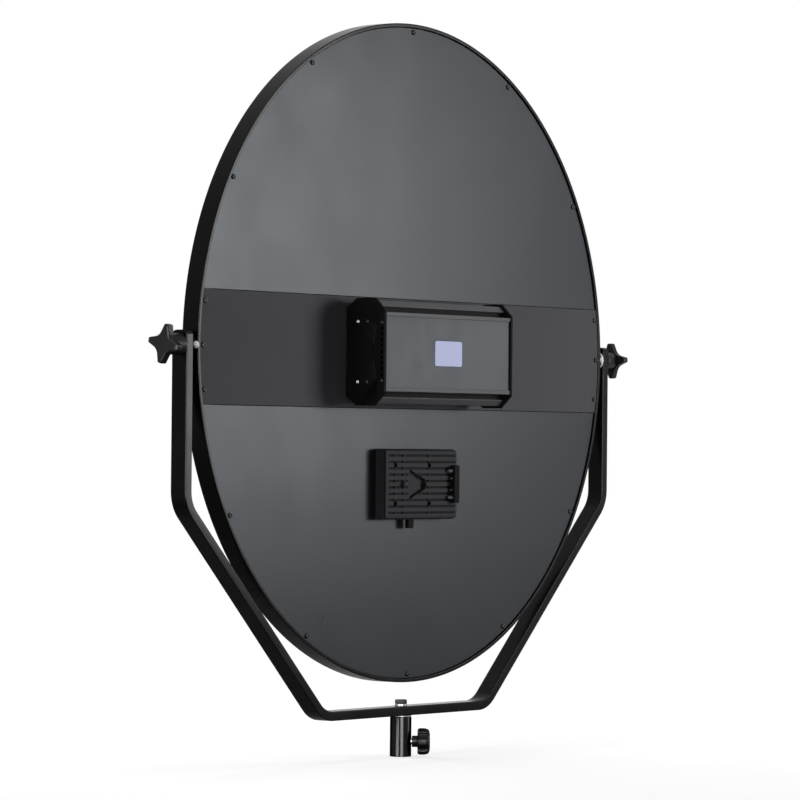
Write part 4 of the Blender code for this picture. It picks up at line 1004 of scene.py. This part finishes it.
def smooth_loop(points, steps=4):
    """A closed curve through a loop's points."""
    made = []
    count = len(points)
    for index in range(count):
        a, b, c, d = (Vector(points[(index + offset) % count]) for offset in (-1, 0, 1, 2))
        for step in range(steps):
            t = step / steps
            made.append(tuple(0.5 * (2 * b + (c - a) * t + (2 * a - 5 * b + 4 * c - d) * t ** 2
                                     + (3 * b - a - 3 * c + d) * t ** 3)))
    return made


def lobed_outline(radius, waist, lobes, half_width, turn):
    """A knob outline: narrow lobes with round ends and hollow arcs between them."""
    points = []
    for lobe in range(lobes):
        angle = turn + tau * lobe / lobes
        for side, length in ((-1, radius - half_width * 0.5), (-0.7, radius), (0.7, radius),
                             (1, radius - half_width * 0.5)):
            points.append((length * cos(angle) - side * half_width * sin(angle),
                           length * sin(angle) + side * half_width * cos(angle)))
        for share in (0.3, 0.5, 0.7):
            between_lobes = angle + tau / lobes * share
            depth = waist + (radius - waist) * LOBE_HOLLOW * abs(share - 0.5) / 0.2
            points.append(polar(depth, between_lobes))
    return smooth_loop(points)


def make_tilt_knob(side, label):
    """The lobed head and its hub; the stud inside stays as it is packed."""
    body = "tilt_knob_" + label
    outline = lobed_outline(KNOB_RADIUS, KNOB_RADIUS * KNOB_WAIST_SHARE, KNOB_LOBES, LOBE_HALF,
                            KNOB_TURNS[label])
    scale = in_mm([(0.93, 0), (0.985, 0.5), (1.0, 1.4), (1.0, 7.4), (0.975, 8.9), (0.9, 9.7), (0.8, 10)])
    levels = [(share, side * (KNOB_BACK_X + height)) for share, height in scale]
    head = stacked(f"tilt_knob_{label}_head", outline, levels, PIVOT_PLACE)
    fit(head, body, "knob_plastic", body)
    near = YOKE_HALF_WIDTH + GAP
    hub = [(KNOB_HUB_RADIUS - 0.6 * MM, near), (KNOB_HUB_RADIUS, near + 0.6 * MM),
           (KNOB_HUB_RADIUS * 0.94, KNOB_BACK_X - 3 * MM), (KNOB_HUB_RADIUS * 0.86, KNOB_BACK_X - 0.5 * MM),
           (KNOB_HUB_RADIUS * 0.86, KNOB_BACK_X + 1 * MM), (STUD_SEAT_RADIUS, KNOB_BACK_X + 1 * MM),
           (STUD_SEAT_RADIUS, near)]
    fit(turned(f"tilt_knob_{label}_hub", [(radius, side * x) for radius, x in hub], PIVOT_PLACE,
               loop=True), body, "knob_plastic")


def make_pivot(side, label):
    """The pad on the rim, the white washer and the knob at one end of the tilt axis."""
    low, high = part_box("pivot_bracket_" + label)
    depths = (low.y, BRACKET_SHOULDER_Y, BRACKET_NECK_Y, high.y)
    lower, upper = ([(y, PIVOT_Z + level * half) for y, half in zip(depths, BRACKET_HALVES)]
                    for level in (-1, 1))
    outline = round_corners(lower + upper[::-1], 1.2 * MM)
    loops = [outline, circle(STUD_HOLE_RADIUS, 32, (0, PIVOT_Z))]
    fit(plate("pivot_pad_" + label, loops, 0, low.x, high.x, 0.6 * MM), "head", "black_aluminium",
        "pivot_bracket_" + label)
    steps = [radians(15 * step) for step in range(6)]
    dome = [(CAP_RADIUS * 0.9, -0.8 * MM)]
    dome += [(CAP_RADIUS * cos(angle), CAP_HEIGHT * sin(angle)) for angle in steps]
    place = at((low.x + high.x) / 2, high.y, PIVOT_Z) @ OUTWARD
    fit(turned("pivot_cap_" + label, dome, place), "head", "white_nylon")
    low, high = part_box("nylon_washer_" + label)
    radius = WASHER_RADIUS[label]
    ring = round_corners([(STUD_HOLE_RADIUS, low.x), (radius, low.x), (radius, high.x),
                          (STUD_HOLE_RADIUS, high.x)], 0.5 * MM)
    fit(turned("white_washer_" + label, ring, PIVOT_PLACE, loop=True), "yoke",
        "white_nylon", "nylon_washer_" + label)
    make_tilt_knob(side, label)


# Stand socket

def make_socket():
    tube = [(SOCKET_BORE_RADIUS, 0), (SOCKET_RADIUS, 0), (SOCKET_RADIUS, SOCKET_HIGH.z),
            (STUD_HOLE_RADIUS, SOCKET_HIGH.z), (STUD_HOLE_RADIUS, SOCKET_BORE_DEPTH),
            (SOCKET_BORE_RADIUS, SOCKET_BORE_DEPTH)]
    tube = turned("socket_tube", round_corners(tube, 0.9 * MM), UPRIGHT, 96, loop=True)
    side_hole = rod("screw_hole", STUD_HOLE_RADIUS, SOCKET_BORE_RADIUS - 4 * MM, SOCKET_RADIUS + 2 * MM,
                    CLAMP_PLACE)
    fit(carve(tube, side_hole), "yoke", "black_chrome", "stand_socket")
    for node, name in (("socket_washer", "tube_washer"), ("bolt_washer", "head_washer")):
        low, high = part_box(node)
        ring = [(STUD_HOLE_RADIUS, low.z), (high.x, low.z), (high.x, high.z), (STUD_HOLE_RADIUS, high.z)]
        fit(turned(name, round_corners(ring, 0.3 * MM), UPRIGHT, 64, loop=True), "yoke",
            "bright_steel", node)
    low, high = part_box("yoke_bolt")
    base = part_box("bolt_washer")[1].z + GAP
    radius = high.x
    profile = [(4 * MM, low.z), (4 * MM, base), (radius * 0.97, base, 6), (radius, base + 0.3 * MM, 6),
               (radius, high.z - 0.9 * MM, 6), (radius * 0.88, high.z - 0.3 * MM), (radius * 0.8, high.z)]
    fit(turned("hex_bolt", profile, UPRIGHT, 96), "yoke", "black_screw", "yoke_bolt")


def make_clamp():
    outline = lobed_outline(CLAMP_HEAD_RADIUS, CLAMP_HEAD_RADIUS * CLAMP_WAIST_SHARE, CLAMP_LOBES,
                            CLAMP_LOBE_HALF, 0)
    length = CLAMP_HEAD_FAR - CLAMP_HEAD_NEAR
    scale = [(0.86, 0), (0.97, 1.2 * MM), (1.0, 4 * MM), (0.99, length - 6.5 * MM),
             (0.95, length - 3.6 * MM), (0.87, length - 1.5 * MM), (0.72, length - 0.4 * MM), (0.5, length)]
    levels = [(share, CLAMP_HEAD_NEAR + height) for share, height in scale]
    fit(stacked("clamp_knob_head", outline, levels, CLAMP_PLACE), "clamp_knob", "knob_plastic", "clamp_knob")
    neck = [(4.3 * MM, CLAMP_NECK_NEAR), (CLAMP_NECK_RADIUS, CLAMP_NECK_NEAR),
            (CLAMP_NECK_RADIUS, CLAMP_HEAD_NEAR + 1 * MM), (4.3 * MM, CLAMP_HEAD_NEAR + 1 * MM)]
    fit(turned("clamp_knob_neck", round_corners(neck, 0.6 * MM), CLAMP_PLACE, loop=True), "clamp_knob",
        "knob_plastic")


# Stage

def make_floor():
    """A pale floor that fades out at its edge and keeps the object's shadow."""
    draft = bmesh.new()
    ring = [draft.verts.new((FLOOR_RADIUS * x, FLOOR_RADIUS * y, 0)) for x, y in circle(1, 96)]
    draft.faces.new(ring)
    floor = put_in_scene("floor", mesh_from("floor", draft))
    floor.location.z = -FLOOR_DROP
    look = bpy.data.materials.new("pale_floor")
    look.use_nodes = True
    tree = look.node_tree
    tree.nodes.clear()
    link = tree.links.new
    output = add_node(tree, "OutputMaterial")
    paint = add_node(tree, "BsdfDiffuse", {"Color": FLOOR_PAINT})
    glow = add_node(tree, "Emission", {"Color": WHITE})
    path = add_node(tree, "LightPath")
    seen = add_node(tree, "Math", {1: FLOOR_GLOW}, operation="MULTIPLY")
    link(path.outputs["Is Camera Ray"], seen.inputs[0])
    link(seen.outputs[0], glow.inputs["Strength"])
    lit = add_node(tree, "AddShader")
    link(paint.outputs[0], lit.inputs[0])
    link(glow.outputs[0], lit.inputs[1])
    clear = add_node(tree, "BsdfTransparent")
    mixed = add_node(tree, "MixShader")
    coordinates = add_node(tree, "TexCoord")
    far = add_node(tree, "VectorMath", operation="LENGTH")
    link(coordinates.outputs["Object"], far.inputs[0])
    near, away = (FLOOR_RADIUS * share for share in FLOOR_FADE)
    fade = add_node(tree, "MapRange", {"From Min": near, "From Max": away},
                    interpolation_type="SMOOTHSTEP")
    link(far.outputs["Value"], fade.inputs["Value"])
    link(fade.outputs["Result"], mixed.inputs["Fac"])
    link(lit.outputs[0], mixed.inputs[1])
    link(clear.outputs[0], mixed.inputs[2])
    link(mixed.outputs[0], output.inputs["Surface"])
    floor.data.materials.append(look)


def make_world():
    """White where it is seen, directly or in gloss, and a dim even fill on everything else."""
    world = bpy.data.worlds.new("studio")
    bpy.context.scene.world = world
    world.use_nodes = True
    tree = world.node_tree
    tree.nodes.clear()
    link = tree.links.new
    output = add_node(tree, "OutputWorld")
    background = add_node(tree, "Background", {"Color": WHITE})
    path = add_node(tree, "LightPath")
    direct = add_node(tree, "Math", operation="MAXIMUM")
    link(path.outputs["Is Camera Ray"], direct.inputs[0])
    link(path.outputs["Is Glossy Ray"], direct.inputs[1])
    shown = add_node(tree, "Math", operation="MAXIMUM")
    link(direct.outputs[0], shown.inputs[0])
    link(path.outputs["Is Transmission Ray"], shown.inputs[1])
    level = add_node(tree, "MapRange", {"To Min": WORLD_FILL, "To Max": 1.0})
    link(shown.outputs[0], level.inputs["Value"])
    link(level.outputs["Result"], background.inputs["Strength"])
    link(background.outputs[0], output.inputs["Surface"])


def make_lamp(name, place, target, size, power):
    """A rectangular soft box that the camera doesn't see."""
    light = bpy.data.lights.new(name, "AREA")
    light.shape = "RECTANGLE"
    light.size, light.size_y = size
    light.energy = power
    lamp = put_in_scene(name, light)
    lamp.location = place
    lamp.rotation_euler = (Vector(target) - Vector(place)).to_track_quat("-Z", "Y").to_euler()
    lamp.visible_camera = False
    return lamp


def make_lamps():
    """Three soft boxes, and two tall strips that show only in reflections."""
    for name, place, size, power in LAMPS:
        make_lamp(name, place, (0, 0, PIVOT_Z), (size, size), power)
    for name, angle, power in STRIPS:
        place = (*polar(STRIP_AWAY, angle), STRIP_HEIGHT)
        strip = make_lamp(name, place, (0, 0, STRIP_HEIGHT), STRIP_SIZE, power)
        strip.visible_diffuse = False


def make_camera():
    """The photograph's own view, from the back and the left of the light."""
    forward = Vector((-sin(VIEW_YAW) * cos(VIEW_PITCH), -cos(VIEW_YAW) * cos(VIEW_PITCH),
                      sin(VIEW_PITCH)))
    level = Vector((-cos(VIEW_YAW), sin(VIEW_YAW), 0))
    upright = level.cross(forward)
    right = cos(VIEW_ROLL) * level + sin(VIEW_ROLL) * upright
    up = cos(VIEW_ROLL) * upright - sin(VIEW_ROLL) * level
    lens = bpy.data.cameras.new("camera")
    lens.sensor_width = VIEW_SENSOR
    lens.lens = VIEW_LENS
    lens.clip_end = VIEW_REACH
    camera = put_in_scene("camera", lens)
    turn = Matrix((right, up, -forward)).transposed().to_4x4()
    camera.matrix_world = Matrix.Translation(VIEW_PLACE) @ turn
    bpy.context.scene.camera = camera


def main():
    make_camera()
    make_world()
    make_floor()
    make_lamps()
    dress_solids()
    make_ring()
    make_back()
    make_rim_screws()
    make_case()
    make_panel()
    make_case_ends()
    make_dials()
    make_switch_and_inlet()
    make_battery()
    make_yoke()
    for side, label in ((1, "left"), (-1, "right")):
        make_pivot(side, label)
    make_socket()
    make_clamp()
    bpy.context.scene.view_settings.view_transform = "Standard"


LOOKS = make_looks()
main()
